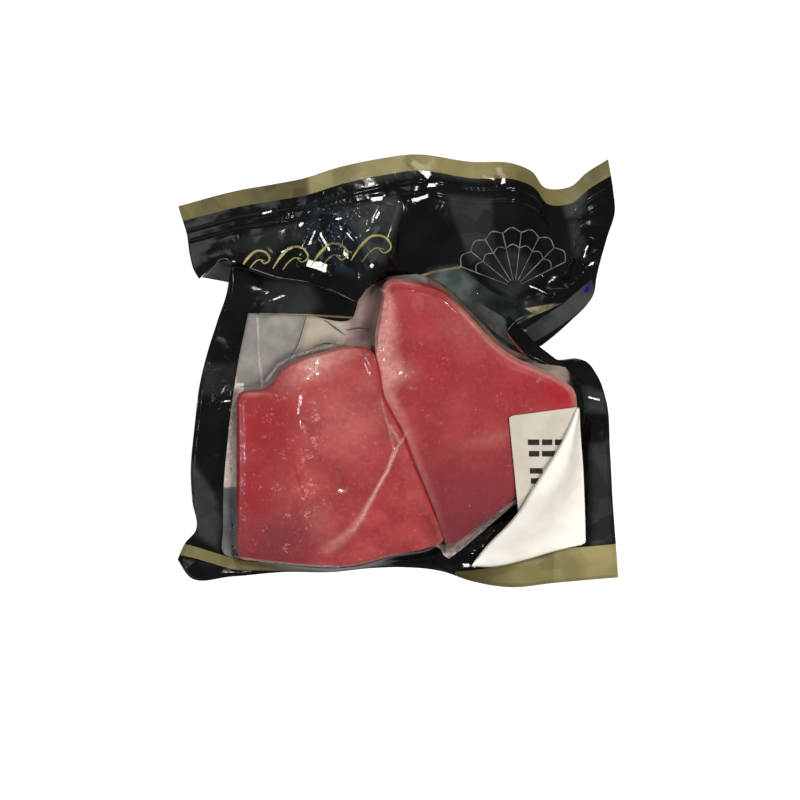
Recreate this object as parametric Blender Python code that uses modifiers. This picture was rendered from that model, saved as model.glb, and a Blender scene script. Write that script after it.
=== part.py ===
"""A vacuum-sealed stand-up pouch of tuna loin, lying on its back with the window up.

Units are metres; the sizes below are written in millimetres and turned to metres by MM.
X runs to the pack's right, Y towards its zip header and Z up from the table.
The origin is the middle of the pack's footprint, on the table.

The pack is a tough film pouch whose front has a clear window over two thick loin
portions. Its zip header is folded forwards over the body at the left, its bottom
seal curls, and its paper label is thrown into one diagonal pleat.
"""

import math

import bmesh
import bpy
import numpy as np

MM = 0.001
PARTS = bpy.data.collections.new("tuna_loin_pack")

# Driving sizes, in millimetres
FILM = 0.9            # the two welded films with their zip and seals, as one sheet
GAP = 0.35            # clearance between pieces that touch
RIGHT_LOIN = 24.0     # thickness of the right-hand portion
LEFT_LOIN = 20.5      # thickness of the left-hand portion
FLANGE_RISE = 3.4     # height of the side seals above the table
LEFT_EDGE = 3.2       # size of each portion's rounded top edge
RIGHT_EDGE = 4.0
LABEL = 0.7           # thickness of the paper label with the film under it
LABEL_LIFT = 0.5      # the film under the label stands this far off the portion
LABEL_CURL = 2.0      # radius of the pleat's rolled edge
CURL_SHARE = 0.3      # share of the flap's width that its rolled edge takes
FLAP_BILLOW = 2.2     # how far the flap stands off a straight line to its edge

# Shape of the portions, in millimetres
# Each drop is how far the top falls, and where along x or y the fall starts and ends
LEFT_FACE_DROP = (6.0, -49.0, -80.0)
LEFT_END_DROP = (1.6, -60.0, -98.0)
RIGHT_TIP_DROP = (3.6, 26.0, 46.0)
RIGHT_SIDE_DROP = (2.2, 30.0, 90.0)
# Each swell is a soft ridge: start, end, height and half width
LEFT_SWELL = ((-20.0, -10.0), (-24.0, -60.0), 0.8, 14.0)
RIGHT_SWELL = ((0.0, 10.0), (26.0, -64.0), 0.9, 13.0)
LOIN_SIDES = 52       # faces round a portion, and rings of them from its top's middle to its base's
LOIN_RINGS = 18
# Where a portion's rounded edge, side and base start, as shares of the rings
LOIN_SECTION = [0.0, 0.5, 0.62, 0.70, 0.78, 0.86, 0.93, 1.0]
BASE_CHAMFER = (0.6, 2.5, 1.4)   # insets of the base's edge, and its height

# Shape of the films, in millimetres
FLAT_MARGIN = 3.0     # the back film stays flat this far beyond the portions
FLANGE_REACH = 7.0    # distance over which it then rises to the side seals
FLANGE_WAVES = ((0.9, 13.0), (0.6, 8.0))   # height and length of the seals' two waves
CORNER_CURL = 3.6     # how far the lower left corner curls up
HEADER_HOLD = (0.7, 0.4)   # how soon the header's creases rise from its long and its short edges
RETURN_SAG = 2.4      # sag of the fold's middle layer
ZIP_RIBS = (13.5, 19.0)   # distance of each zip rib below the header's top edge
ZIP_RIB_WIDTH = 1.6
ZIP_RIB_HEIGHT = 0.8
ZIP_MARGIN = 0.03     # share of the header's width left plain at each end of the zip
LOWEST_SEAL = 0.3     # least height of the header's seal above the table

# Outlines, in millimetres, as smooth curves through a few points taken anticlockwise
# The side on which the two portions lie against each other, from its top to its bottom
SHARED_SIDE = [
    (-11.5, 7.5), (-9.8, 0.2), (-7.4, -13.0), (-3.4, -21.0), (2.2, -31.5),
    (6.8, -43.8), (13.5, -60.0), (18.5, -72.5), (22.4, -84.0),
]
SHARED_GAP = (-1.2, -0.4)
LEFT_LOIN_MIDDLE = (-36.0, -45.0)
LEFT_LOIN_OUTLINE = [
    (-78.5, -11.2), (-80.0, -15.5), (-80.2, -54.0), (-80.0, -88.0), (-77.0, -93.0),
    (-66.0, -95.2), (-45.0, -97.2), (-32.0, -97.8), (-23.5, -97.2), (-4.0, -92.3), (18.5, -87.2),
] + [(x + SHARED_GAP[0], y + SHARED_GAP[1]) for x, y in reversed(SHARED_SIDE)] + [
    (-15.6, 11.4), (-21.0, 12.6), (-25.0, 12.6), (-38.2, 9.6),
    (-50.3, 3.7), (-62.3, -6.0), (-67.0, -9.2), (-74.0, -10.3),
]
RIGHT_LOIN_MIDDLE = (34.0, -24.0)
RIGHT_LOIN_OUTLINE = [(-8.4, 37.0), (-9.8, 29.0), (-11.8, 18.0)] + SHARED_SIDE + [
    (24.2, -87.6), (27.5, -87.0), (41.5, -76.5), (59.0, -64.0), (71.5, -54.5),
    (81.5, -43.0), (87.2, -28.0), (88.6, -15.5), (87.2, -9.6), (82.5, -5.2),
    (71.5, 0.6), (57.5, 7.0), (46.5, 15.2), (37.0, 25.5), (26.5, 36.4),
    (22.5, 40.0), (15.5, 43.0), (6.5, 45.2), (0.0, 46.0), (-5.0, 45.6), (-7.8, 43.0),
]
BODY_LEFT = [
    (-111.0, -94.5), (-107.5, -86.5), (-102.0, -80.0), (-103.8, -64.5), (-104.5, -52.0),
    (-102.5, -26.5), (-100.0, -6.5), (-96.0, 9.5), (-91.0, 25.5), (-86.0, 41.5), (-85.5, 54.5),
]
BODY_RIGHT = [
    (110.0, -103.5), (108.8, -87.0), (107.2, -64.5), (105.9, -39.5), (104.0, -14.5),
    (99.7, -2.5), (93.3, 5.2), (88.5, 6.5),
]
BODY_BOTTOM = [
    (-111.0, -94.5), (-104.5, -103.5), (-83.5, -103.0), (-58.5, -101.0), (-33.5, -101.0),
    (-13.5, -99.0), (1.5, -98.5), (21.5, -100.5), (36.5, -105.5), (56.5, -108.5),
    (76.5, -106.5), (110.0, -103.5),
]
BODY_TOP = [
    (-85.5, 54.5), (-48.5, 59.0), (-8.5, 56.0), (21.5, 49.0), (51.5, 31.0),
    (68.0, 13.0), (78.0, 6.0), (88.5, 6.5),
]
# The header's four edges; the third number is the height of the film's underside
HEADER_TOP = [
    (-110.8, 82.8, 1.0), (-80.0, 90.8, 2.0), (-63.5, 93.6, 3.0), (-48.5, 96.4, 4.5), (-30.0, 102.0, 7.5),
    (-9.5, 106.4, 5.5), (6.5, 108.6, 4.0), (36.5, 104.6, 8.5), (57.5, 103.6, 9.5), (66.5, 100.0, 6.5),
    (73.5, 92.0, 1.5), (86.0, 92.6, 1.5), (93.5, 99.0, 6.5), (104.4, 105.8, 12.0),
]
HEADER_LEFT = [
    (-100.0, 46.0, 9.5), (-102.4, 50.0, 9.0), (-104.6, 57.5, 7.0), (-106.6, 69.5, 3.5),
    (-109.2, 77.5, 1.5), (-110.8, 82.8, 1.0),
]
HEADER_RIGHT = [
    (72.0, 13.0, 0.4), (78.0, 17.8, 1.5), (86.5, 25.5, 3.0), (94.5, 33.5, 4.0),
    (97.4, 38.0, 4.5), (99.0, 47.0, 6.0), (104.0, 66.5, 8.0), (108.0, 80.5, 9.0),
    (107.2, 89.0, 10.0), (104.4, 105.8, 12.0),
]
HEADER_BOTTOM = [
    (-100.0, 46.0, 9.5), (-90.0, 54.0, 10.5), (-83.0, 55.0, 12.0), (-73.5, 51.0, 13.0),
    (-65.5, 47.5, 13.5), (-53.5, 45.5, 14.0), (-42.0, 43.5, 15.0), (-31.0, 39.0, 15.5),
    (-22.0, 34.0, 16.0), (-17.5, 39.0, 15.5), (-13.0, 45.5, 13.5), (-4.0, 49.5, 9.0),
    (9.0, 48.5, 6.0), (21.0, 44.0, 3.5), (32.0, 34.5, 1.2), (42.5, 23.5, 0.4),
    (53.0, 13.0, 0.4), (62.0, 9.0, 0.4), (72.0, 13.0, 0.4),
]
# The hidden middle layer of the header's fold: from the fold's edge back to the body
RETURN_FRONT = [
    (-86.0, 52.5, 11.2), (-73.5, 50.0, 13.2), (-65.5, 46.7, 13.7), (-42.0, 42.9, 15.2),
    (-31.0, 38.6, 15.7), (-22.0, 34.6, 16.1), (-16.0, 42.0, 14.4), (-6.0, 49.0, 9.6),
]
RETURN_BACK = [
    (-84.0, 53.5, 3.6), (-73.0, 56.0, 3.6), (-62.0, 56.5, 3.6), (-48.5, 57.5, 3.6),
    (-38.0, 57.0, 3.6), (-28.0, 56.5, 3.6), (-18.0, 55.5, 3.6), (-8.5, 54.5, 3.6),
]
# The small folded corner where the side seal turns under the header
CORNER_FOLD = [(-98.5, 46.8, 9.0), (-85.5, 44.5, 4.2), (-83.0, 57.0, 4.4), (-89.0, 57.5, 9.8)]
# Soft creases of the header: start, end, height of the ridge and its half width
HEADER_CREASES = [
    ((-7.0, 52.0), (13.0, 104.0), 4.5, 8.0),
    ((1.0, 54.0), (3.0, 84.0), -2.5, 3.5),
    ((-31.0, 48.0), (-22.0, 84.0), 2.6, 8.0),
    ((52.0, 36.0), (60.0, 98.0), 4.0, 10.0),
    ((80.0, 92.0), (84.0, 50.0), -4.5, 7.0),
    ((101.0, 53.0), (57.0, 22.0), 4.0, 6.0),
    ((-70.0, 60.0), (-60.0, 84.0), 1.8, 8.0),
]
# The label's pleat: the line of its ridge, then the flap's right and lower edges with their heights
PLEAT_RIDGE = [
    (36.5, -97.6), (41.0, -91.5), (46.5, -85.0), (53.0, -78.5), (58.5, -72.0),
    (65.5, -60.5), (72.5, -49.5), (78.5, -40.0), (84.5, -28.5), (88.6, -18.5),
]
FLAP_RIGHT = [(93.6, -86.6, 5.6), (92.8, -64.0, 6.8), (91.8, -47.0, 9.5), (90.2, -30.0, 15.5)]
FLAP_BOTTOM = [(47.0, -98.0, 7.0), (63.0, -94.6, 6.2), (80.0, -89.6, 5.8)]
LABEL_LEFT_EDGE = [(59.5, -73.0), (54.5, -22.5)]
LABEL_UNDER_FLAP = [(59.5, -73.0), (76.0, -62.0), (88.0, -38.0), (88.5, -18.0)]
LABEL_FALL = (17.5, -1.0, 15.0)   # how far it falls from the portion's top, and where beside it
CURL_PROFILE = ([0.0, 0.25, 0.8, 1.0], [0.7, 1.0, 0.6, 0.2])   # the curl's size along the pleat
CURL_TUCK = (-0.5, 0.9)       # how far the rolled edge bulges and then tucks under
CURL_WAY = (0.86, -0.51)      # the direction in which it tucks


def smooth(points, count=240):
    """A smooth curve through points, as count places spaced evenly along it."""
    p = np.array(points, float)
    t = np.concatenate([[0.0], np.cumsum(np.linalg.norm(np.diff(p, axis=0), axis=1))])
    slope = np.gradient(p, t, axis=0)
    fine = np.linspace(0.0, t[-1], count * 4)
    i = np.clip(np.searchsorted(t, fine, side="right") - 1, 0, len(t) - 2)
    h = (t[i + 1] - t[i])[:, None]
    s = ((fine - t[i])[:, None]) / h
    curve = (
        (2 * s**3 - 3 * s**2 + 1) * p[i]
        + (s**3 - 2 * s**2 + s) * h * slope[i]
        + (3 * s**2 - 2 * s**3) * p[i + 1]
        + (s**3 - s**2) * h * slope[i + 1]
    )
    length = np.concatenate([[0.0], np.cumsum(np.linalg.norm(np.diff(curve, axis=0), axis=1))])
    even = np.linspace(0.0, length[-1], count)
    return np.stack([np.interp(even, length, curve[:, k]) for k in range(p.shape[1])], axis=1)


def along(curve, t):
    """Places on a sampled curve at shares t of its length."""
    at = np.clip(t, 0.0, 1.0) * (len(curve) - 1)
    return np.stack([np.interp(at, np.arange(len(curve)), c) for c in curve.T], axis=-1)


def patch(bottom, top, left, right):
    """The surface that fills four edges that meet at their corners, as a function of u and v."""
    bottom, top, left, right = (smooth(edge) for edge in (bottom, top, left, right))

    def surface(u, v):
        b, t, l, r = along(bottom, u), along(top, u), along(left, v), along(right, v)
        u, v = u[..., None], v[..., None]
        corners = (
            (1 - u) * (1 - v) * bottom[0] + u * (1 - v) * bottom[-1]
            + (1 - u) * v * top[0] + u * v * top[-1]
        )
        return (1 - v) * b + v * t + (1 - u) * l + u * r - corners

    return surface


def outline_radius(outline, middle):
    """The distance from middle to a closed outline, as a function of the direction."""
    closed = smooth(outline + outline[:1], 720)
    d = closed - np.array(middle)
    angle = np.arctan2(d[:, 1], d[:, 0])
    order = np.argsort(angle)
    angle, radius = angle[order], np.hypot(d[:, 0], d[:, 1])[order]
    return lambda a: np.interp(a, angle, radius, period=2 * math.pi)


LEFT_RADIUS = outline_radius(LEFT_LOIN_OUTLINE, LEFT_LOIN_MIDDLE)
RIGHT_RADIUS = outline_radius(RIGHT_LOIN_OUTLINE, RIGHT_LOIN_MIDDLE)


def beyond(x, y, radius, middle):
    """How far a place is outside an outline, and less than 0 inside it."""
    dx, dy = x - middle[0], y - middle[1]
    return np.hypot(dx, dy) - radius(np.arctan2(dy, dx))


def step(a, b, x):
    t = np.clip((x - a) / (b - a), 0.0, 1.0)
    return t * t * (3 - 2 * t)


def ridge(x, y, start, end, height, width):
    """A soft ridge along a line, fading past its ends."""
    (ax, ay), (bx, by) = start, end
    dx, dy = bx - ax, by - ay
    t = np.clip(((x - ax) * dx + (y - ay) * dy) / (dx * dx + dy * dy), 0.0, 1.0)
    away = np.hypot(x - ax - t * dx, y - ay - t * dy)
    return height * np.exp(-((away / width) ** 2))


def drop(values, at):
    """How far a surface has fallen at a place, from its whole fall, its start and its end."""
    fall, start, end = values
    return fall * step(start, end, at)


def left_loin_top(x, y):
    """The left portion: a cut block whose left third slopes off along one edge."""
    return LEFT_LOIN - drop(LEFT_FACE_DROP, x) - drop(LEFT_END_DROP, y) + ridge(x, y, *LEFT_SWELL)


def right_loin_top(x, y):
    """The right portion: a wedge, thickest along its left edge and thin at its tip."""
    return RIGHT_LOIN - drop(RIGHT_TIP_DROP, y) - drop(RIGHT_SIDE_DROP, x) + ridge(x, y, *RIGHT_SWELL)


def footprint_gap(x, y):
    """How far a place is outside both portions."""
    return np.minimum(
        beyond(x, y, LEFT_RADIUS, LEFT_LOIN_MIDDLE), beyond(x, y, RIGHT_RADIUS, RIGHT_LOIN_MIDDLE)
    )


def body_height(x, y):
    """The underside of the body film: flat under the food, and rising to the wavy side seals."""
    away = np.maximum(footprint_gap(x, y) - FLAT_MARGIN, 0.0)
    rise = 1.0 - np.exp(-away / FLANGE_REACH)
    (long_height, long_wave), (short_height, short_wave) = FLANGE_WAVES
    wave = long_height * np.sin(y / long_wave + 0.6) + short_height * np.sin((x + y) / short_wave)
    curl = CORNER_CURL * step(-88.0, -102.0, y) * step(-40.0, -85.0, x)
    return rise * (FLANGE_RISE + wave + curl)


def body_surface(u, v):
    p = patch(BODY_BOTTOM, BODY_TOP, BODY_LEFT, BODY_RIGHT)(u, v)
    return np.concatenate([p, body_height(p[..., 0], p[..., 1])[..., None]], axis=-1)


def header_surface(u, v):
    p = patch(HEADER_BOTTOM, HEADER_TOP, HEADER_LEFT, HEADER_RIGHT)(u, v)
    x, y = p[..., 0], p[..., 1]
    long_edges, short_edges = HEADER_HOLD
    inner = np.sin(np.pi * np.clip(v, 0, 1)) ** long_edges * np.sin(np.pi * np.clip(u, 0, 1)) ** short_edges
    p[..., 2] += inner * sum(ridge(x, y, *crease) for crease in HEADER_CREASES)
    p[..., 2] = np.maximum(p[..., 2], LOWEST_SEAL)
    return p


def zip_surface(below):
    """One rib of the zip, as a narrow strip of the header that runs below its top edge."""

    def surface(u, v):
        tall = np.linalg.norm(along(smooth(HEADER_TOP), u) - along(smooth(HEADER_BOTTOM), u), axis=-1)
        across = below + (0.5 - v) * ZIP_RIB_WIDTH
        p = header_surface(ZIP_MARGIN + (1 - 2 * ZIP_MARGIN) * u, 1 - across / tall)
        p[..., 2] += FILM / 2
        return p

    return surface


def return_surface(u, v):
    front, back = along(smooth(RETURN_FRONT), u), along(smooth(RETURN_BACK), u)
    p = front + (back - front) * v[..., None]
    p[..., 2] -= RETURN_SAG * np.sin(np.pi * v)
    return p


def corner_surface(u, v):
    a, b, c, d = (np.array(p) for p in CORNER_FOLD)
    u, v = u[..., None], v[..., None]
    return (1 - v) * ((1 - u) * a + u * b) + v * ((1 - u) * d + u * c)


def label_base(x, y):
    """The underside of the label: on the film over the right portion, then falling beside it."""
    fall = drop(LABEL_FALL, beyond(x, y, RIGHT_RADIUS, RIGHT_LOIN_MIDDLE))
    return right_loin_top(x, y) + GAP + LABEL_LIFT - fall


def label_flat_surface(u, v):
    """The label's left part, lying on the film over the right portion."""
    left, right = smooth(LABEL_LEFT_EDGE), smooth(LABEL_UNDER_FLAP)
    p = along(left, v) + (along(right, v) - along(left, v)) * u[..., None]
    return np.concatenate([p, label_base(p[..., 0], p[..., 1])[..., None]], axis=-1)


def curl_radius(v):
    """The pleat's rolled edge: open at its lower end and closing to a point at the label's top."""
    return LABEL_CURL * np.interp(v, *CURL_PROFILE)


def flap_surface(u, v):
    """The label's right part: a flap whose left edge rolls under along the pleat."""
    line = smooth(PLEAT_RIDGE)
    share = np.linspace(0.0, 1.0, len(line))
    height = label_base(line[:, 0], line[:, 1]) + LABEL / 2 + 2 * curl_radius(share)
    ridge_line = np.concatenate([line, height[:, None]], axis=1)
    apex, foot = tuple(ridge_line[-1]), tuple(ridge_line[0])
    ends = [tuple(apex + np.array([0.3 * i, 0.0, -0.15 * i])) for i in range(4)]
    right = FLAP_RIGHT + [ends[-1]]
    bottom = [foot] + FLAP_BOTTOM + [FLAP_RIGHT[0]]
    share_right = np.clip((u - CURL_SHARE) / (1 - CURL_SHARE), 0.0, 1.0)
    p = patch(bottom, ends, ridge_line[::24].tolist() + [apex], right)(share_right, v)
    p[..., 2] += FLAP_BILLOW * np.sin(np.pi * share_right) * np.sin(np.pi * np.clip(v, 0, 1))
    turn = np.pi * (1.0 - np.clip(u / CURL_SHARE, 0.0, 1.0))
    small = curl_radius(v)
    curled = along(ridge_line, v)
    tuck = CURL_TUCK[0] * np.sin(turn) + CURL_TUCK[1] * (1 - np.cos(turn))
    curled[..., :2] += (small * tuck)[..., None] * np.array(CURL_WAY)
    curled[..., 2] -= small * (1 - np.cos(turn))
    return np.where((u < CURL_SHARE)[..., None], curled, p)


def sheet(name, surface, columns, rows, thickness):
    """A closed sheet of one thickness over a surface given as a function of u and v."""
    mesh = bpy.data.meshes.new(name)
    bm = bmesh.new()
    bmesh.ops.create_grid(bm, x_segments=columns, y_segments=rows, size=1.0)
    flat = np.array([v.co for v in bm.verts])
    placed = surface((flat[:, 0] + 1) / 2, (flat[:, 1] + 1) / 2) * MM
    for vert, place in zip(bm.verts, placed):
        vert.co = place
    bm.to_mesh(mesh)
    bm.free()
    obj = bpy.data.objects.new(name, mesh)
    PARTS.objects.link(obj)
    solid = obj.modifiers.new("Film", "SOLIDIFY")
    solid.thickness = thickness * MM
    solid.offset = 1.0
    return applied(obj)


def applied(obj):
    """The object with its modifiers made part of its mesh."""
    graph = bpy.context.evaluated_depsgraph_get()
    graph.update()
    mesh = bpy.data.meshes.new_from_object(obj.evaluated_get(graph))
    obj.modifiers.clear()
    obj.data = mesh
    return obj


def joined(first, others):
    """One solid of several sheets that cross, with the others then removed."""
    group = bpy.data.collections.new(first.name + "_pieces")
    bpy.context.scene.collection.children.link(group)
    for obj in others:
        PARTS.objects.unlink(obj)
        group.objects.link(obj)
    union = first.modifiers.new("Join", "BOOLEAN")
    union.operation = "UNION"
    union.operand_type = "COLLECTION"
    union.collection = group
    union.solver = "MANIFOLD"
    applied(first)
    for obj in others:
        bpy.data.objects.remove(obj)
    bpy.data.collections.remove(group)
    return first


def without_pockets(obj):
    """The object's outer skin alone, so that a sealed pocket between crossing sheets is solid."""
    bm = bmesh.new()
    bm.from_mesh(obj.data)
    bmesh.ops.triangulate(bm, faces=bm.faces)
    left_over, shells = set(bm.faces), []
    while left_over:
        shell, edge_of_search = set(), [left_over.pop()]
        while edge_of_search:
            face = edge_of_search.pop()
            shell.add(face)
            shared = [edge for edge in face.edges if edge.is_manifold]
            near = {other for edge in shared for other in edge.link_faces} & left_over
            left_over -= near
            edge_of_search += near
        shells.append(shell)
    shells.sort(key=len)
    bmesh.ops.delete(bm, geom=[face for shell in shells[:-1] for face in shell], context="FACES")
    bm.to_mesh(obj.data)
    bm.free()
    return obj


def loin(name, middle, outline, top, edge):
    """A cut portion of fish: a globe of faces drawn out to the outline, the top's height and a flat base."""
    mesh = bpy.data.meshes.new(name)
    bm = bmesh.new()
    bmesh.ops.create_uvsphere(bm, u_segments=LOIN_SIDES, v_segments=LOIN_RINGS, radius=1.0)
    rim = smooth(outline + outline[:1], 8 * LOIN_SIDES + 1)
    centre, base = np.array(middle), FILM + GAP
    foot_inset, base_inset, foot_height = BASE_CHAMFER
    for vert in bm.verts:
        turn = (math.atan2(vert.co.y, vert.co.x) / (2 * math.pi)) % 1.0
        down = math.acos(max(-1.0, min(1.0, vert.co.z))) / math.pi
        spoke = along(rim, np.array(turn)) - centre
        reach = math.hypot(*spoke)
        insets = [reach, 1.6 * edge, 0.5 * edge, 0, 0, foot_inset, base_inset, reach]
        x, y = centre + spoke * (1 - np.interp(down, LOIN_SECTION, insets) / reach)
        full = float(top(x, y))
        rounded = [full, full - 0.3, full - 0.45 * edge, full - 1.3 * edge]
        fall = rounded + [0.4 * full, base + foot_height, base, base]
        vert.co = (x * MM, y * MM, np.interp(down, LOIN_SECTION, fall) * MM)
    bm.to_mesh(mesh)
    bm.free()
    obj = bpy.data.objects.new(name, mesh)
    PARTS.objects.link(obj)
    return obj


def finish(obj, colour, roughness, subsurface=0.0):
    """The piece's own plain material, from the photographed colours."""
    material = bpy.data.materials.new(obj.name)
    material.use_nodes = True
    shader = material.node_tree.nodes["Principled BSDF"]
    shader.inputs["Base Color"].default_value = (*colour, 1.0)
    shader.inputs["Roughness"].default_value = roughness
    shader.inputs["Metallic"].default_value = 0.0
    shader.inputs["Subsurface Weight"].default_value = subsurface
    obj.data.materials.clear()
    obj.data.materials.append(material)
    obj.data.shade_smooth()
    obj.data.set_sharp_from_angle(angle=math.radians(40))
    return obj


def build():
    for old in list(bpy.data.objects):
        bpy.data.objects.remove(old)
    bpy.context.scene.collection.children.link(PARTS)
    body = sheet("pouch", body_surface, 30, 30, FILM)
    header = sheet("header", header_surface, 38, 18, FILM)
    folded = sheet("return", return_surface, 14, 4, FILM)
    corner = sheet("corner", corner_surface, 3, 3, FILM)
    ribs = [
        sheet(f"zip_{i}", zip_surface(below), 38, 1, FILM / 2 + ZIP_RIB_HEIGHT)
        for i, below in enumerate(ZIP_RIBS)
    ]
    pouch = without_pockets(joined(body, [header, folded, corner] + ribs))
    finish(pouch, (0.012, 0.012, 0.012), 0.18)

    left = loin("tuna_left", LEFT_LOIN_MIDDLE, LEFT_LOIN_OUTLINE, left_loin_top, LEFT_EDGE)
    finish(left, (0.40, 0.06, 0.055), 0.35, 0.2)
    right = loin("tuna_right", RIGHT_LOIN_MIDDLE, RIGHT_LOIN_OUTLINE, right_loin_top, RIGHT_EDGE)
    finish(right, (0.38, 0.055, 0.055), 0.35, 0.2)

    label = sheet("label", label_flat_surface, 7, 9, LABEL)
    flap = sheet("flap", flap_surface, 14, 14, LABEL)
    finish(joined(label, [flap]), (0.83, 0.79, 0.70), 0.55)


build()
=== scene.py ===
# %% [markdown]
# # Tuna loin portions in a vacuum pouch
#
# Two raw tuna loin portions are sealed in a glossy black pouch. Its front has a clear window and a paper
# label, and its zip header has slumped forwards over the body. This lesson dresses a plain solid model of
# that pack: thin films, fish, paper and print are modelled as meshes and given materials made of nodes.
#
# The plain model is loaded as a fixed frame. Each piece made here rides on it and stands for one of its
# solids, so every size and place below is the same as in the solid model.

# %% Load the frame
import math

import bmesh
import bpy
import numpy as np
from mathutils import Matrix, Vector
from mathutils.bvhtree import BVHTree


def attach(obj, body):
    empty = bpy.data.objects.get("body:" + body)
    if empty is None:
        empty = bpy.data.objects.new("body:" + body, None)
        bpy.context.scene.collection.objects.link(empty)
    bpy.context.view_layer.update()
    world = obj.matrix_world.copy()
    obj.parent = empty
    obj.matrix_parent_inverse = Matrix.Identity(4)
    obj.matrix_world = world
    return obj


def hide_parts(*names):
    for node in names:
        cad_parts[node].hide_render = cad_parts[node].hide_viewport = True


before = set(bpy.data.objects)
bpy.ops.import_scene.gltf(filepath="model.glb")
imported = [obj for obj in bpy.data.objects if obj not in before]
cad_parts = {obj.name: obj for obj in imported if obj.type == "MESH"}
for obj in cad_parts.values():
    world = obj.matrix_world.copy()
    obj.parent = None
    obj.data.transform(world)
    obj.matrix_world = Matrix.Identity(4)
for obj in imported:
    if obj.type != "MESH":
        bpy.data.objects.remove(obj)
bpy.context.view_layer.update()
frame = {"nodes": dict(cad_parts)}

MM = 0.001
print("solids:", ", ".join(frame["nodes"]))

# %% [markdown]
# ## Outlines
#
# Vacuum packing presses a film on to its contents, so the outlines of the two portions decide nearly every
# fold. They could be traced with dozens of points, but a smooth curve through a few points in millimetres
# gives the same soft shape and stays easy to change.

# %% The fish, in millimetres
RIGHT_LOIN = 24.0     # thickness of each portion
LEFT_LOIN = 20.5
LEFT_EDGE = 3.2       # size of each portion's rounded top edge
RIGHT_EDGE = 4.0
SHARED_SIDE = [
    (-11.5, 7.5), (-9.8, 0.2), (-7.4, -13.0), (-3.4, -21.0), (2.2, -31.5),
    (6.8, -43.8), (13.5, -60.0), (18.5, -72.5), (22.4, -84.0),
]
SHARED_GAP = (-0.2, -0.1)   # the portions all but touch once the film is drawn tight
LEFT_MIDDLE = (-36.0, -45.0)
LEFT_OUTLINE = [
    (-79.8, -11.2), (-81.0, -13.5), (-81.2, -19.0), (-81.2, -37.0), (-81.2, -56.0), (-81.2, -75.0),
    (-81.2, -87.0), (-80.6, -91.8), (-78.4, -94.2), (-73.0, -95.0), (-62.0, -96.0), (-45.0, -97.5),
    (-32.0, -98.0), (-23.5, -97.4), (-4.0, -92.5), (18.5, -87.4),
] + [(x + SHARED_GAP[0], y + SHARED_GAP[1]) for x, y in reversed(SHARED_SIDE)] + [
    (-15.6, 11.4), (-21.0, 12.6), (-25.0, 12.4), (-38.2, 9.4), (-51.0, 5.4),
    (-58.4, 1.2), (-63.8, -6.0), (-67.0, -8.4), (-74.0, -9.6), (-78.0, -10.2),
]
RIGHT_MIDDLE = (34.0, -24.0)
RIGHT_OUTLINE = [(-8.4, 37.0), (-9.8, 29.0), (-11.8, 18.0)] + SHARED_SIDE + [
    (24.2, -87.6), (27.5, -87.0), (41.5, -76.5), (59.0, -64.0), (71.5, -54.5),
    (81.5, -43.0), (87.2, -28.0), (88.6, -15.5), (87.2, -9.6), (82.5, -5.2),
    (71.5, 0.6), (57.5, 7.0), (46.5, 15.2), (37.0, 25.5), (26.5, 36.4),
    (22.5, 40.0), (15.5, 43.0), (6.5, 45.2), (0.0, 46.0), (-5.0, 45.6), (-7.8, 43.0),
]

# %% The pouch's body, in millimetres
BODY_LEFT = [
    (-111.0, -94.5), (-107.5, -86.5), (-102.0, -80.0), (-103.8, -64.5), (-104.5, -52.0),
    (-102.5, -26.5), (-100.0, -6.5), (-96.0, 9.5), (-91.0, 25.5), (-86.0, 41.5), (-85.5, 54.5),
]
BODY_RIGHT = [
    (110.0, -103.5), (108.8, -87.0), (107.2, -64.5), (105.9, -39.5), (104.0, -14.5),
    (99.7, -2.5), (93.3, 5.2), (88.5, 6.5),
]
BODY_BOTTOM = [
    (-111.0, -94.5), (-104.5, -103.5), (-83.5, -103.0), (-58.5, -101.0), (-33.5, -101.0),
    (-13.5, -99.0), (1.5, -98.5), (21.5, -100.5), (36.5, -105.5), (56.5, -108.5),
    (76.5, -106.5), (110.0, -103.5),
]
BODY_TOP = [
    (-85.5, 54.5), (-48.5, 59.0), (-8.5, 56.0), (21.5, 49.0), (51.5, 31.0),
    (68.0, 13.0), (78.0, 6.0), (88.5, 6.5),
]

# %% The zip header, in millimetres with heights
HEADER_TOP = [
    (-110.8, 82.8, 1.0), (-80.0, 90.8, 2.0), (-63.5, 93.6, 3.0), (-48.5, 96.4, 4.5), (-30.0, 102.0, 7.5),
    (-9.5, 106.4, 5.5), (6.5, 108.6, 4.0), (36.5, 104.6, 8.5), (57.5, 103.6, 9.5), (66.5, 100.0, 6.5),
    (73.5, 92.0, 1.5), (86.0, 92.6, 1.5), (93.5, 99.0, 6.5), (104.4, 105.8, 12.0),
]
HEADER_LEFT = [
    (-100.0, 46.0, 9.5), (-102.4, 50.0, 9.0), (-104.6, 57.5, 7.0), (-106.6, 69.5, 3.5),
    (-109.2, 77.5, 1.5), (-110.8, 82.8, 1.0),
]
HEADER_RIGHT = [
    (72.0, 13.0, 0.4), (78.0, 17.8, 1.5), (86.5, 25.5, 3.0), (94.5, 33.5, 4.0),
    (97.4, 38.0, 4.5), (99.0, 47.0, 6.0), (104.0, 66.5, 8.0), (108.0, 80.5, 9.0),
    (107.2, 89.0, 10.0), (104.4, 105.8, 12.0),
]
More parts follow.
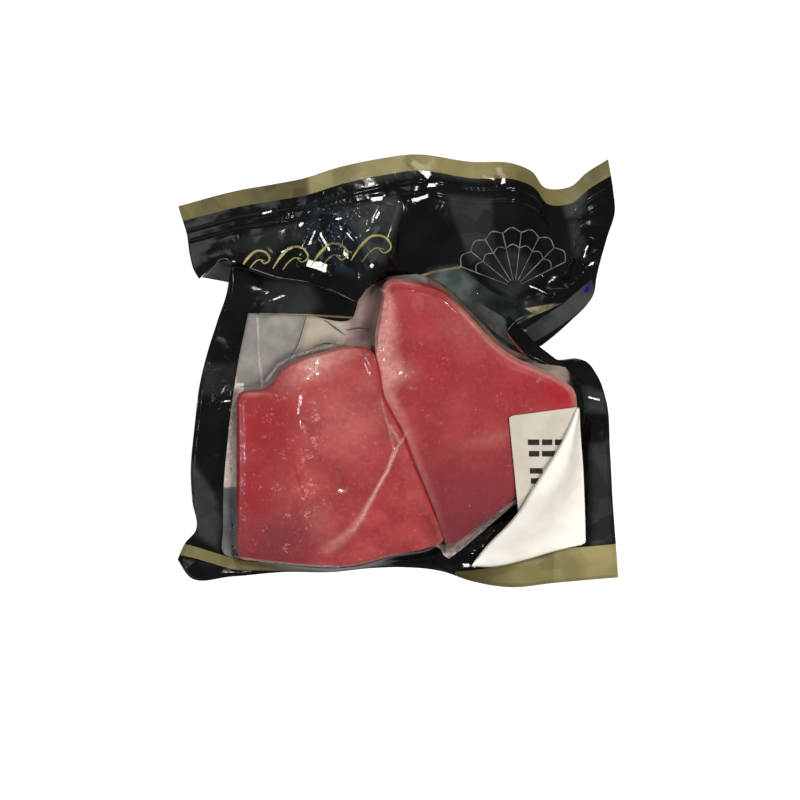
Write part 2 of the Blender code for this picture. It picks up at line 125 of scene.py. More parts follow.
HEADER_BOTTOM = [
    (-100.0, 46.0, 9.5), (-90.0, 54.0, 10.5), (-83.0, 55.0, 12.0), (-73.5, 51.0, 13.0),
    (-65.5, 47.5, 13.5), (-53.5, 45.5, 14.0), (-42.0, 43.5, 15.0), (-31.0, 39.0, 15.5),
    (-22.0, 34.0, 16.0), (-17.5, 39.0, 15.5), (-13.0, 45.5, 13.5), (-4.0, 49.5, 9.0),
    (9.0, 48.5, 6.0), (21.0, 44.0, 3.5), (32.0, 34.5, 1.2), (42.5, 23.5, 0.4),
    (53.0, 13.0, 0.4), (62.0, 9.0, 0.4), (72.0, 13.0, 0.4),
]

# %% [markdown]
# ## Curves, patches and outlines
#
# A film that hangs between four edges is a patch: each point is blended from the four edges that meet at its
# corners. A distance from an outline gives everything that follows a portion's edge, such as the way the
# film falls off it. All of these work on whole arrays of points, which numpy does quickly.

# %% Curves
def smooth(points, count=240):
    """A smooth curve through points, as count places spaced evenly along it."""
    p = np.array(points, float)
    t = np.concatenate([[0.0], np.cumsum(np.linalg.norm(np.diff(p, axis=0), axis=1))])
    slope = np.gradient(p, t, axis=0)
    fine = np.linspace(0.0, t[-1], count * 4)
    i = np.clip(np.searchsorted(t, fine, side="right") - 1, 0, len(t) - 2)
    h = (t[i + 1] - t[i])[:, None]
    s = ((fine - t[i])[:, None]) / h
    curve = (
        (2 * s**3 - 3 * s**2 + 1) * p[i]
        + (s**3 - 2 * s**2 + s) * h * slope[i]
        + (3 * s**2 - 2 * s**3) * p[i + 1]
        + (s**3 - s**2) * h * slope[i + 1]
    )
    length = np.concatenate([[0.0], np.cumsum(np.linalg.norm(np.diff(curve, axis=0), axis=1))])
    even = np.linspace(0.0, length[-1], count)
    return np.stack([np.interp(even, length, curve[:, k]) for k in range(p.shape[1])], axis=1)


def along(curve, t):
    """Places on a sampled curve at shares t of its length."""
    at = np.clip(t, 0.0, 1.0) * (len(curve) - 1)
    return np.stack([np.interp(at, np.arange(len(curve)), c) for c in curve.T], axis=-1)


# %% Patches and steps
def patch(bottom, top, left, right):
    """The surface that fills four edges that meet at their corners, as a function of u and v."""
    bottom, top, left, right = (smooth(edge) for edge in (bottom, top, left, right))

    def surface(u, v):
        b, t, l, r = along(bottom, u), along(top, u), along(left, v), along(right, v)
        u, v = u[..., None], v[..., None]
        corners = (
            (1 - u) * (1 - v) * bottom[0] + u * (1 - v) * bottom[-1]
            + (1 - u) * v * top[0] + u * v * top[-1]
        )
        return (1 - v) * b + v * t + (1 - u) * l + u * r - corners

    return surface


def step(a, b, x):
    """0 before a, 1 after b and a soft rise between."""
    t = np.clip((x - a) / (b - a), 0.0, 1.0)
    return t * t * (3 - 2 * t)


# %% Distances
def along_line(x, y, start, end):
    """The distance of each place from a line, and its share of the way along it."""
    (ax, ay), (bx, by) = start, end
    dx, dy = bx - ax, by - ay
    t = np.clip(((x - ax) * dx + (y - ay) * dy) / (dx * dx + dy * dy), 0.0, 1.0)
    return np.hypot(x - ax - t * dx, y - ay - t * dy), t


def ridge(x, y, start, end, height, width):
    """A soft ridge along a line, fading past its ends."""
    away, _ = along_line(x, y, start, end)
    return height * np.exp(-((away / width) ** 2))


def from_path(x, y, path):
    """The distance of each place from the nearest part of a path."""
    return np.min([along_line(x, y, a, b)[0] for a, b in zip(path[:-1], path[1:])], axis=0)


def inside(x, y, outline, count=160):
    """How far each place is inside a closed outline, and less than 0 outside it."""
    ring = smooth(outline + outline[:1], count) if count else np.array(outline + outline[:1])
    nearest = np.full(x.shape, np.inf)
    crossings = np.zeros(x.shape, int)
    for (ax, ay), (bx, by) in zip(ring[:-1], ring[1:]):
        nearest = np.minimum(nearest, along_line(x, y, (ax, ay), (bx, by))[0])
        if ay != by:
            crossings += ((ay > y) != (by > y)) & (x < ax + (bx - ax) * (y - ay) / (by - ay))
    return np.where(crossings % 2 == 1, nearest, -nearest)


# %% Soft spots and areas
def spots(x, y, marks):
    """Soft oval marks: middle, two half widths, turn in degrees and strength of each."""
    total = np.zeros(np.shape(x))
    for cx, cy, wide, tall, turn, share in marks:
        turn = math.radians(turn)
        dx = (x - cx) * math.cos(turn) + (y - cy) * math.sin(turn)
        dy = (y - cy) * math.cos(turn) - (x - cx) * math.sin(turn)
        total = np.maximum(total, share * np.exp(-((dx / wide) ** 2) - (dy / tall) ** 2))
    return total


def soft_areas(x, y, areas, soft_mm):
    """The strength of each area inside its straight-sided outline, with a soft rim."""
    shares = [share * step(-soft_mm, soft_mm, inside(x, y, outline, 0)) for outline, share in areas]
    return np.max(shares, axis=0)


# %% [markdown]
# ## Heights
#
# The portions are cut blocks with rounded edges. The back film lies flat under them and its seals rise a
# little from the table. The front film rests on their tops and falls steeply at their sides, because the
# air between them is drawn out. Plain functions of x and y give these heights, so that a film and the fish
# below it always agree.

# %% Distances from the fish
def outline_radius(outline, middle):
    """The distance from middle to a closed outline, as a function of the direction."""
    closed = smooth(outline + outline[:1], 720)
    d = closed - np.array(middle)
    angle = np.arctan2(d[:, 1], d[:, 0])
    order = np.argsort(angle)
    angle, radius = angle[order], np.hypot(d[:, 0], d[:, 1])[order]
    return lambda a: np.interp(a, angle, radius, period=2 * math.pi)


LEFT_RADIUS = outline_radius(LEFT_OUTLINE, LEFT_MIDDLE)
RIGHT_RADIUS = outline_radius(RIGHT_OUTLINE, RIGHT_MIDDLE)


def beyond(x, y, radius, middle):
    """How far a place is outside a portion's outline, and less than 0 inside it."""
    dx, dy = x - middle[0], y - middle[1]
    return np.hypot(dx, dy) - radius(np.arctan2(dy, dx))


def beyond_left(x, y):
    return beyond(x, y, LEFT_RADIUS, LEFT_MIDDLE)


def beyond_right(x, y):
    return beyond(x, y, RIGHT_RADIUS, RIGHT_MIDDLE)


# %% Tops of the fish
CUT_RIDGE = -50.0     # x of the ridge where the left portion's side slope starts
SIDE_SLOPE = 6.0      # how far that side slope drops
DIMPLE = (-29.0, -57.0)
DIMPLE_DEPTH = 0.9
DIMPLE_SIZE = 4.5
LOWER_FALL = 1.6      # how far the left portion's lower end drops
SQUEEZED = 2.9        # it is raised this much where the other portion presses on it
SQUEEZED_WIDTH = 12.0
TIP_FALL = 3.6        # how far the right portion's tip drops
RIGHT_FALL = 2.2      # and its right end


def left_top(x, y):
    slope = SIDE_SLOPE * step(CUT_RIDGE + 1.0, -80.0, x)
    dimple = DIMPLE_DEPTH * np.exp(-(np.hypot(x - DIMPLE[0], (y - DIMPLE[1]) / 1.6) / DIMPLE_SIZE) ** 2)
    fall = LOWER_FALL * step(-60.0, -98.0, y)
    squeezed = SQUEEZED * step(SQUEEZED_WIDTH, 0.0, beyond_right(x, y))
    return LEFT_LOIN + squeezed - slope - fall - dimple + ridge(x, y, (-20, -10), (-24, -60), 0.8, 14)


def right_top(x, y):
    tip = TIP_FALL * step(26.0, 46.0, y)
    return RIGHT_LOIN - tip - RIGHT_FALL * step(30.0, 90.0, x) + ridge(x, y, (0, 10), (26, -64), 0.9, 13)


def left_edge(x, y):
    """The left portion's top edge is less rounded where the other portion holds it."""
    return LEFT_EDGE * (1.0 - 0.6 * step(5.0, 0.0, beyond_right(x, y)))


def right_edge(x, y):
    return RIGHT_EDGE * (1.0 - 0.65 * step(5.0, 0.0, beyond_left(x, y)))


# %% Heights of the films
FILM = 0.9            # the two welded films with their seals
GAP = 0.35            # clearance between pieces that touch
FLAT_REACH = 3.0      # the back film lies flat under the fish and this far beyond it
FLANGE_BEND = 7.0     # then it bends up over about this length
FLANGE_RISE = 3.4     # to this height of the side seals above the table
CORNER_CURL = 3.6     # and this much higher at the lower left corner
LABEL_LIFT = 0.5      # the label stands this far off the right portion, beyond the gap
UNDER_LABEL = 0.3     # and the film under it stays this far below
FILM_LIFT = 0.5       # the front film stands this far off the fish
FILM_CLEAR = 0.4      # and this far outside its sides
WEB = 5.0             # how far from a portion its film reaches the seal
BRIDGE = 4.0          # and how much farther where it runs on to the other portion
MELT = 0.9            # how softly the films over the two portions run together


def back_height(x, y):
    """The outside of the back film."""
    away = np.maximum(np.minimum(beyond_left(x, y), beyond_right(x, y)) - FLAT_REACH, 0.0)
    rise = 1.0 - np.exp(-away / FLANGE_BEND)
    wave = 0.9 * np.sin(y / 13.0 + 0.6) + 0.6 * np.sin((x + y) / 8.0)
    curl = CORNER_CURL * step(-88.0, -102.0, y) * step(-40.0, -85.0, x)
    return rise * (FLANGE_RISE + wave + curl)


EDGE_INSETS = [0.0, 0.5, 1.6]   # places on a rounded top edge, inwards, as shares of its size
EDGE_DROPS = [1.3, 0.45, 0.0]   # and how far the edge has dropped at each
WEB_FOOT = 1.0                  # beside a portion the film falls to FILM_LIFT above this height
LEAST_COVER = 0.3               # the film stays at least this far above fish_height


def rounded(away, edge):
    """How far a portion's rounded top edge has dropped at this distance from its outline."""
    return edge * np.interp(-away / edge, EDGE_INSETS, EDGE_DROPS)


def fish_height(x, y):
    """The tops and rounded edges of the fish, and 0 outside them."""
    left_away, right_away = beyond_left(x, y) - FILM_CLEAR, beyond_right(x, y) - FILM_CLEAR
    left = left_top(x, y) - rounded(left_away, left_edge(x, y))
    right = right_top(x, y) - rounded(right_away, right_edge(x, y))
    return np.maximum(np.where(left_away < 0, left, 0.0), np.where(right_away < 0, right, 0.0))


def front_height(x, y):
    """The outside of the front film: round each portion's edge, then down to the seals."""
    heights = [back_height(x, y) + FILM]
    for away, top, edge in (
        (beyond_left(x, y), left_top(x, y), left_edge(x, y)),
        (beyond_right(x, y), right_top(x, y), right_edge(x, y)),
    ):
        web = WEB + BRIDGE * step(5.0, 0.0, np.maximum(beyond_left(x, y), beyond_right(x, y)))
        away = away - FILM_CLEAR
        fall = 1.0 - (1.0 - np.clip(away / web, 0.0, 1.0)) ** 2
        drop = (top - WEB_FOOT - EDGE_DROPS[0] * edge) * fall
        heights.append(top + FILM_LIFT - rounded(away, edge) - drop)
    return np.log(sum(np.exp(h / MELT) for h in heights)) * MELT


# %% The label's height
LABEL_FALL = (17.5, -1.0, 15.0)   # how far the label falls beside the portion, from where to where
LABEL_AREA = [(54.5, -22.5), (59.5, -73.0), (61.5, -71.5), (80.0, -42.5), (86.5, -29.0), (88.0, -18.5)]
FLAP_AREA = [(37.0, -98.0), (54.0, -77.0), (88.5, -18.5), (92.0, -50.0), (94.0, -87.0), (66.0, -94.5)]


def label_base(x, y):
    """The label's underside: on the film over the right portion, then falling beside it."""
    fall, start, end = LABEL_FALL
    return right_top(x, y) + GAP + LABEL_LIFT - fall * step(start, end, beyond_right(x, y))


print("film over the right portion:", round(float(front_height(np.array(30.0), np.array(-20.0))), 1), "mm")

# %% [markdown]
# ## Crumples
#
# A stiff laminate can't stretch, so it crumples into flat facets with straight creases between them. Facets
# are made by adding a few zigzag waves in different directions. Shorter creases are small tents with a
# sharp crest. Both are worked out in the mesh and not in the material, so they also show at the outline.

# %% Facets and creases
def facets(x, y, count, apart, height, seed):
    """Flat facets between straight creases: a sum of zigzag waves in random directions."""
    draw = np.random.default_rng(seed)
    total = np.zeros(np.shape(x))
    for _ in range(count):
        turn, phase = draw.uniform(0, math.pi), draw.uniform(0, 1)
        wave = (x * math.cos(turn) + y * math.sin(turn)) / draw.uniform(*apart) + phase
        total += height * draw.uniform(0.5, 1.0) * np.abs(2 * (wave % 1.0) - 1.0)
    return total - height * count * 0.375


def creases(x, y, count, box, lengths, widths, height, seed):
    """Random straight creases with a sharp crest inside a box of places."""
    draw = np.random.default_rng(seed)
    total = np.zeros(x.shape)
    (x0, y0), (x1, y1) = box
    for _ in range(count):
        cx, cy = draw.uniform(x0, x1), draw.uniform(y0, y1)
        turn = draw.uniform(0, math.pi)
        half = draw.uniform(*lengths) / 2
        wide = draw.uniform(*widths)
        high = height * draw.uniform(0.4, 1.0) * draw.choice([-1.0, 1.0])
        dx, dy = half * math.cos(turn), half * math.sin(turn)
        total += tent(x, y, (cx - dx, cy - dy), (cx + dx, cy + dy), high, wide)
    return total


def planes(x, y, apart, seed):
    """Straight-sided patches about this far apart, each with its own number from 0 to 1."""
    draw = np.random.default_rng(seed)
    spread = np.arange(-120.0, 120.0, apart)
    cx, cy = (c.ravel() + draw.uniform(-0.5, 0.5, c.size) * apart for c in np.meshgrid(spread, spread))
    number = draw.uniform(0, 1, cx.size)
    nearest = np.full(np.shape(x), np.inf)
    value = np.zeros(np.shape(x))
    for px, py, own in zip(cx, cy, number):
        away = (x - px) ** 2 + (y - py) ** 2
        value = np.where(away < nearest, own, value)
        nearest = np.minimum(nearest, away)
    return value


def tent(x, y, start, end, height, width):
    """A straight fold with a sharp crest, highest at its middle."""
    away, t = along_line(x, y, start, end)
    return height * np.clip(1 - away / width, 0, 1) * np.sin(np.pi * np.clip(t, 0.02, 0.98)) ** 0.5


# %% [markdown]
# ## Facets that shine
#
# A film flashes white where a small facet of it happens to face halfway between the eye and a lamp. Waiting
# for random creases to do that is slow, so the few flashes that matter are listed one by one: each is a
# little plane that the film is bent to, and its tilt is worked out from the place of the lamp. The lamps are
# made at the end from the same places.

# %% Lamps and the facets that face them
EYE = (0.5, -14.5, 2010.0)            # where the pack is looked at from, in millimetres
TOP_LAMP = (350.0, 900.0, 1300.0)     # beyond the header
SIDE_LAMP = (-1250.0, 60.0, 1100.0)   # to the left and low


def tilt_to(lamp, x, y):
    """The slopes along x and y of a facet that mirrors this lamp to the eye."""
    to_eye = Vector(EYE) - Vector((x, y, 10.0))
    to_lamp = Vector(lamp) - Vector((x, y, 10.0))
    half = to_eye.normalized() + to_lamp.normalized()
    return -half.x / half.z, -half.y / half.z


def bend_to(x, y, z, facets_at, lift=0.0):
    """Bends heights to little planes. Each has a middle, two half sizes, a turn in degrees and a lamp."""
    for cx, cy, long, wide, turn, lamp in facets_at:
        turn = math.radians(turn)
        dx, dy = x - cx, y - cy
        a = dx * math.cos(turn) + dy * math.sin(turn)
        b = dy * math.cos(turn) - dx * math.sin(turn)
        share = np.clip(2.5 - 2.0 * np.abs(a) / long, 0, 1) * np.clip(2.5 - 2.0 * np.abs(b) / wide, 0, 1)
        level = z.flat[np.argmin(dx * dx + dy * dy)] + lift
        sx, sy = tilt_to(lamp, cx, cy)
        z = z + share * (level + sx * dx + sy * dy - z)
    return z


# %% [markdown]
# ## Mesh helpers
#
# Every thin piece here starts as a flat grid that is moved on to a surface. A material can't know where on
# the pack it is, so numbers such as the distance to the edge of the print are kept on the vertices, where
# an Attribute node can read them.

# %% Meshes
def linked(name, bm):
    mesh = bpy.data.meshes.new(name)
    bm.to_mesh(mesh)
    bm.free()
    mesh.shade_smooth()
    obj = bpy.data.objects.new(name, mesh)
    bpy.context.scene.collection.objects.link(obj)
    return obj


def places(obj):
    """The x, y and z of an object's vertices, in millimetres."""
    flat = np.empty(len(obj.data.vertices) * 3, np.float32)
    obj.data.vertices.foreach_get("co", flat)
    return flat.reshape(-1, 3).astype(float).T / MM


def keep(obj, name, values):
    """Keeps one number for each vertex, for a material to read by that name."""
    field = obj.data.attributes.new(name, "FLOAT", "POINT")
    field.data.foreach_set("value", np.broadcast_to(values, len(obj.data.vertices)).astype(np.float32))


def grid(name, surface, columns, rows):
    """An open sheet over a surface of u and v, and the u and v of its vertices."""
    bm = bmesh.new()
    bmesh.ops.create_grid(bm, x_segments=columns, y_segments=rows, size=1.0)
    flat = np.array([v.co for v in bm.verts])
    u, v = (flat[:, 0] + 1) / 2, (flat[:, 1] + 1) / 2
    for vert, place in zip(bm.verts, surface(u, v) * MM):
        vert.co = place
    return linked(name, bm), u, v


def thicken(obj, thickness, offset=-1.0):
    solid = obj.modifiers.new("Thickness", "SOLIDIFY")
    solid.thickness = thickness * MM
    solid.offset = offset


def place_on_pack(obj, material, node=None):
    """Gives a piece its material and its place on the frame."""
    obj.data.materials.append(material)
    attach(obj, "root")
    if node:
        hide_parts(node)
    print(obj.name, "has", len(obj.data.polygons), "faces")


# %% [markdown]
# ## Colours and nodes
#
# Colours are picked as sRGB hex values, the way a paint chart gives them, and turned to the linear values
# that shaders add up. One helper adds any node: it takes the settings and what goes into each socket, so a
# material reads from top to bottom like a recipe.

# %% Colours and nodes
def linear(hex_colour):
    """An sRGB hex colour as the linear colour that shaders take."""
    parts = [int(hex_colour[i:i + 2], 16) / 255 for i in (1, 3, 5)]
    return (*[c / 12.92 if c <= 0.04045 else ((c + 0.055) / 1.055) ** 2.4 for c in parts], 1.0)


def add(tree, kind, inputs=None, out=0, **settings):
    """Adds a node with its settings and links, and gives the output named by out."""
    made = tree.nodes.new("ShaderNode" + kind)
    for name, value in settings.items():
        setattr(made, name, value)
    for name, value in (inputs or {}).items():
        if isinstance(value, bpy.types.NodeSocket):
            tree.links.new(value, made.inputs[name])
        else:
            made.inputs[name].default_value = value
    return made.outputs[out] if len(made.outputs) else None


def new_material(name):
    made = bpy.data.materials.new(name)
    made.use_nodes = True
    made.node_tree.nodes.clear()
    return made, made.node_tree


def per_metre(size_mm):
    """The scale of a pattern whose marks are this far apart."""
    return 1.0 / (size_mm * MM)


SOFT = {"interpolation_type": "SMOOTHSTEP"}


def cloudy(tree, size_mm, detail, low, high, most=1.0):
    """Soft clouds of this size: 0 where the noise is under low, rising to most where it is over high."""
    place = add(tree, "TexCoord", out="Object")
    noise = add(tree, "TexNoise", {"Vector": place, "Scale": per_metre(size_mm), "Detail": detail})
    return add(tree, "MapRange", {
        "Value": noise, "From Min": low, "From Max": high, "To Max": most,
    }, **SOFT)


# %% [markdown]
# ## The printed laminate
#
# The pouch is a laminate of polyester and polyethylene, printed on the inside of its outer layer: black all
# over, with a gold band at each end. The print lies under a smooth plastic skin, so it is a deep, even
# black with clean highlights, and the gold is an ink and not a metal. Its IOR is 1.5, as most plastics
# have. The film itself is only slightly wavy, which a fine bump gives; its folds are in the mesh. Two kept
# numbers paint light and shade into the inks: one is painted shade and light on the gold, darker in some
# places and paler in others and changing from facet to facet, and the other is a painted grey reflection on
# the black. A third, navy, tints the black blue in one crinkled place.

# %% Gloss of the film
FILM_RIPPLE_MM = 2.4      # ripples that the heat of the seals leaves in the film
FILM_WAVE_MM = 9.0
INK_CLOUD_MM = 26.0
BLACK_INK = ("#040404", "#090a09")
SHEEN_GREY = "#464a48"    # painted grey reflection on the black ink
NAVY_INK = "#17222b"      # and blue in one crinkled place
GOLD_INK = ("#3c3419", "#948b5d")
GOLD_CLOUD = 0.22         # how much of the gold's painted shading is cloudiness, and the rest its place


def film_normal(tree, strength):
    """The slight waviness of a heat-sealed film."""
    place = add(tree, "TexCoord", out="Object")
    wave = add(tree, "TexNoise", {"Vector": place, "Scale": per_metre(FILM_WAVE_MM), "Detail": 1.0})
    ripple = add(tree, "TexNoise", {"Vector": place, "Scale": per_metre(FILM_RIPPLE_MM), "Detail": 3.0})
    wavy = add(tree, "Bump", {"Height": wave, "Distance": 1.2 * MM, "Strength": strength})
    return add(tree, "Bump", {
        "Height": ripple, "Distance": 0.2 * MM, "Strength": strength, "Normal": wavy,
    })


def laminate_print(tree, gold, normal):
    """Black and gold ink under a clear skin. gold is 1 where the ink is gold."""
    cloud = cloudy(tree, INK_CLOUD_MM, 2.0, 0.38, 0.66)
    painted_sheen = add(tree, "Attribute", out="Fac", attribute_name="painted_sheen")
    patchy = add(tree, "MapRange", {"Value": cloud, "To Min": 0.7, "To Max": 1.0})
    painted_sheen = add(tree, "Math", {0: painted_sheen, 1: patchy}, operation="MULTIPLY")
    navy = add(tree, "Attribute", out="Fac", attribute_name="navy")
    black = linear(BLACK_INK[0])
    for share, ink in ((cloud, BLACK_INK[1]), (painted_sheen, SHEEN_GREY), (navy, NAVY_INK)):
        black = add(tree, "Mix", {0: share, 6: black, 7: linear(ink)}, 2, data_type="RGBA")
    gold_shading = add(tree, "Attribute", out="Fac", attribute_name="gold_shading")
    gold_shading = add(tree, "Mix", {0: GOLD_CLOUD, 2: gold_shading, 3: cloud})
    dark_gold, pale_gold = (linear(ink) for ink in GOLD_INK)
    yellow = add(tree, "Mix", {0: gold_shading, 6: dark_gold, 7: pale_gold}, 2, data_type="RGBA")
    colour = add(tree, "Mix", {0: gold, 6: black, 7: yellow}, 2, data_type="RGBA")
    rough = add(tree, "MapRange", {"Value": gold, "To Min": 0.15, "To Max": 0.36})
    return add(tree, "BsdfPrincipled", {
        "Base Color": colour, "Roughness": rough, "IOR": 1.5, "Normal": normal,
    })


def sharp_edge(tree, name, soft_mm=0.12):
    """1 where the distance kept under this name is above 0."""
    kept = add(tree, "Attribute", out="Fac", attribute_name=name)
    return add(tree, "MapRange", {"Value": kept, "From Min": -soft_mm, "From Max": soft_mm}, **SOFT)


# %% Black laminate
def black_laminate():
    made, tree = new_material("black printed polyester laminate")
    shader = laminate_print(tree, sharp_edge(tree, "gold"), film_normal(tree, 0.3))
    add(tree, "OutputMaterial", {"Surface": shader})
    return made


# %% [markdown]
# ## The header's laminate
#
# The header is the same laminate, but more shows in it. Below the printed part a piece of the clear window
# is folded up against the dark inside. Its colours there are painted light and shade: dark painted shade
# with a grey-teal painted reflection, a paler painted reflection at its left and deeper painted shade at its
# right. At the header's right end the film is turned over, so its unprinted grey inner face shows as a strip,
# with cream scraps and a violet spot. Each of these has its own two colours, and a kept distance
# from its outline says where it is.

# %% Header laminate
def header_laminate():
    made, tree = new_material("black printed laminate of the header")
    normal = film_normal(tree, 0.3)
    shader = laminate_print(tree, sharp_edge(tree, "gold"), normal)
    # Painted shade and reflections of the folded window, then the turned film, its cream scraps and a violet
    # spot.
    for name, colours, cloud_mm, roughness, soft_mm in (
        ("shaded_window", ("#191f20", "#303938"), 20.0, 0.2, 0.4),
        ("window_sheen", ("#343c3c", "#4c5554"), 9.0, 0.2, 3.0),
        ("window_deep_shade", ("#0c1012", "#1b2122"), 9.0, 0.2, 3.0),
        ("turned", ("#262624", "#3b3b38"), 14.0, 0.3, 0.4),
        ("cream", ("#4a4533", "#857b60"), 6.0, 0.35, 0.4),
        ("violet", ("#1a1358", "#4030c0"), 3.0, 0.3, 0.4),
    ):
        cloud = cloudy(tree, cloud_mm, 2.0, 0.35, 0.65)
        dark, light = (linear(colour) for colour in colours)
        colour = add(tree, "Mix", {0: cloud, 6: dark, 7: light}, 2, data_type="RGBA")
        other = add(tree, "BsdfPrincipled", {
            "Base Color": colour, "Roughness": roughness, "IOR": 1.5, "Normal": normal,
        })
        shader = add(tree, "MixShader", {0: sharp_edge(tree, name, soft_mm), 1: shader, 2: other})
    add(tree, "OutputMaterial", {"Surface": shader})
    return made


# %% [markdown]
# ## The clear window
#
# The window is the same polyethylene without ink. A real film is so thin that it doesn't bend light, so it
# is a mix of a transparent and a glossy shader and not glass. Layer Weight's Facing is the same from both
# sides of the film, so light that comes back from the fish passes just as light that goes in. Its fifth
# power is the usual rule for how much a clear surface reflects at a slant. Where the film is folded on
# itself or lifts off the fish it turns milky, which a little white mixed in by a kept number shows. The same
# white is also painted as a highlight near the left portion's top, and as painted light on the strip left of
# it.

# %% Clear film
FILM_REFLECTS = 0.05      # both faces of a clear film together, looked at straight
SLANT_REFLECTS = 0.25     # and at a grazing slant, lowered because the film here is never quite smooth
PINCH_MM = 2.2            # where the film is pinched, its milkiness comes and goes over this length
# milky white of the film, also painted as highlights and painted light
MILKY_AND_HIGHLIGHT_FILM = "#d8c4bb"


def clear_window():
    made, tree = new_material("clear polyethylene film with a printed edge")
    normal = film_normal(tree, 0.3)
    shader = laminate_print(tree, sharp_edge(tree, "gold"), normal)
    slant = add(tree, "LayerWeight", {"Blend": 0.5, "Normal": normal}, "Facing")
    slant = add(tree, "Math", {0: slant, 1: 5.0}, operation="POWER")
    mirror = add(tree, "MapRange", {"Value": slant, "To Min": FILM_REFLECTS, "To Max": SLANT_REFLECTS})
    gloss = add(tree, "BsdfGlossy", {"Color": (1, 1, 1, 1), "Roughness": 0.12, "Normal": normal})
    clear = add(tree, "BsdfTransparent", {"Color": (0.98, 0.98, 0.98, 1)})
    film = add(tree, "MixShader", {0: mirror, 1: clear, 2: gloss})
    milk_and_light = add(tree, "BsdfPrincipled", {
        "Base Color": linear(MILKY_AND_HIGHLIGHT_FILM), "Roughness": 0.3, "IOR": 1.5, "Normal": normal,
    })
    place = add(tree, "TexCoord", out="Object")
    frayed = add(tree, "TexNoise", {"Vector": place, "Scale": per_metre(PINCH_MM), "Detail": 3.0})
    frayed = add(tree, "MapRange", {"Value": frayed, "From Min": 0.35, "From Max": 0.62, "To Min": 0.3})
    haze_and_highlight = add(tree, "Attribute", out="Fac", attribute_name="haze_and_highlight")
    haze_and_highlight = add(tree, "Math", {0: haze_and_highlight, 1: frayed}, operation="MULTIPLY")
    film = add(tree, "MixShader", {0: haze_and_highlight, 1: film, 2: milk_and_light})
    shader = add(tree, "MixShader", {0: sharp_edge(tree, "window"), 1: shader, 2: film})
    add(tree, "OutputMaterial", {"Surface": shader})
    return made


# %% [markdown]
# ## The inner face
#
# Through the window the unprinted side of the back film shows: a greyish white polyethylene, cream where a
# paper insert lies on it, rosy beside the fish, and dark where the black print folds in under the edge and
# as painted shade under the header. An olive painted shadow lies along the left portion's top edge. Its
# left strip is painted whiter, then slate grey, as painted light against the shadow that the left portion
# casts there. Between and below the portions it is painted dark red as shade. It is matt compared with the
# outside, so its roughness is 0.4.

# %% Inner face
LINING_CLOUD_MM = 14.0


def inner_face():
    made, tree = new_material("grey-white polyethylene inner face")
    cloud = cloudy(tree, LINING_CLOUD_MM, 3.0, 0.35, 0.65)
    colour = add(tree, "Mix", {0: cloud, 6: linear("#807d79"), 7: linear("#999590")}, 2, data_type="RGBA")
    # The olive is a painted shadow, the white and slate are painted light, the dark is partly painted shade
    # and the last red is painted shade.
    for name, dark, light, soft_mm in (
        ("cream", "#978f80", "#ada495", 1.6),
        ("rosy", "#7d6a63", "#a18d85", 3.0),
        ("olive_shadow", "#5f5b49", "#7b7662", 1.2),
        ("white", "#e2dbce", "#ece6da", 0.6),
        ("dark", "#2c3033", "#4a5054", 0.6),
        ("slate", "#5c6062", "#74787a", 0.6),
        ("web", "#4e3831", "#7d5e50", 1.0),
        ("red_shade_by_fish", "#5c1619", "#7a2226", 0.8),
    ):
        other = add(tree, "Mix", {0: cloud, 6: linear(dark), 7: linear(light)}, 2, data_type="RGBA")
        share = sharp_edge(tree, name, soft_mm)
        colour = add(tree, "Mix", {0: share, 6: colour, 7: other}, 2, data_type="RGBA")
    shader = add(tree, "BsdfPrincipled", {"Base Color": colour, "Roughness": 0.4, "IOR": 1.5})
    add(tree, "OutputMaterial", {"Surface": shader})
    return made


# %% [markdown]
# ## Raw tuna
#
# Tuna loin is a dense red muscle, cut with a knife and frozen. Light goes a few millimetres into it and
# comes back redder, which subsurface scattering gives. The cut face is cloudy in patches of 10 to 20 mm,
# has fine mottling about 2 mm across and pale torn flecks, and is dusted with grains of frost. Where the
# film has dried the surface it is pale pink, and where the face is steep or wet it is a deeper red. Some of
# these colours are painted light and shade: pale pink and frost grains also stand in for highlights, and
# deep red and dull mauve for shade by the groove, on the left rim, in the dimple and towards the bottom. A
# wet surface is fairly smooth, so its roughness is 0.4 and its IOR 1.38.

# %% Raw tuna
FROST_GRAIN_MM = 1.3      # drawn a little coarser than real frost, so that it shows
FROST_CLUMP_MM = 5.0
TUNA_CLOUD_MM = 17.0      # cloudy patches of the cut face
TUNA_PATCH_MM = 6.0
TUNA_MOTTLE_MM = 2.6      # fine mottling of the muscle
FLECK_MM = 3.2            # torn shreds of the surface, a few millimetres apart
TORN_FLECK = "#dc958c"
# Pale pink of a dried surface, also painted as highlights.
PALE_PINK_AND_HIGHLIGHT = "#d39a90"
FROST_AND_HIGHLIGHT_PINK = "#dc9d95"    # thin frost, with the fish showing through it, also painted as a highlight on an edge
DEEP_RED_AND_SHADE = "#9c1e26"       # where the cut is deep, wet and clear, and as painted shade by the groove and on the left rim
MAUVE = "#6b2a33"         # where it is dull and in shade


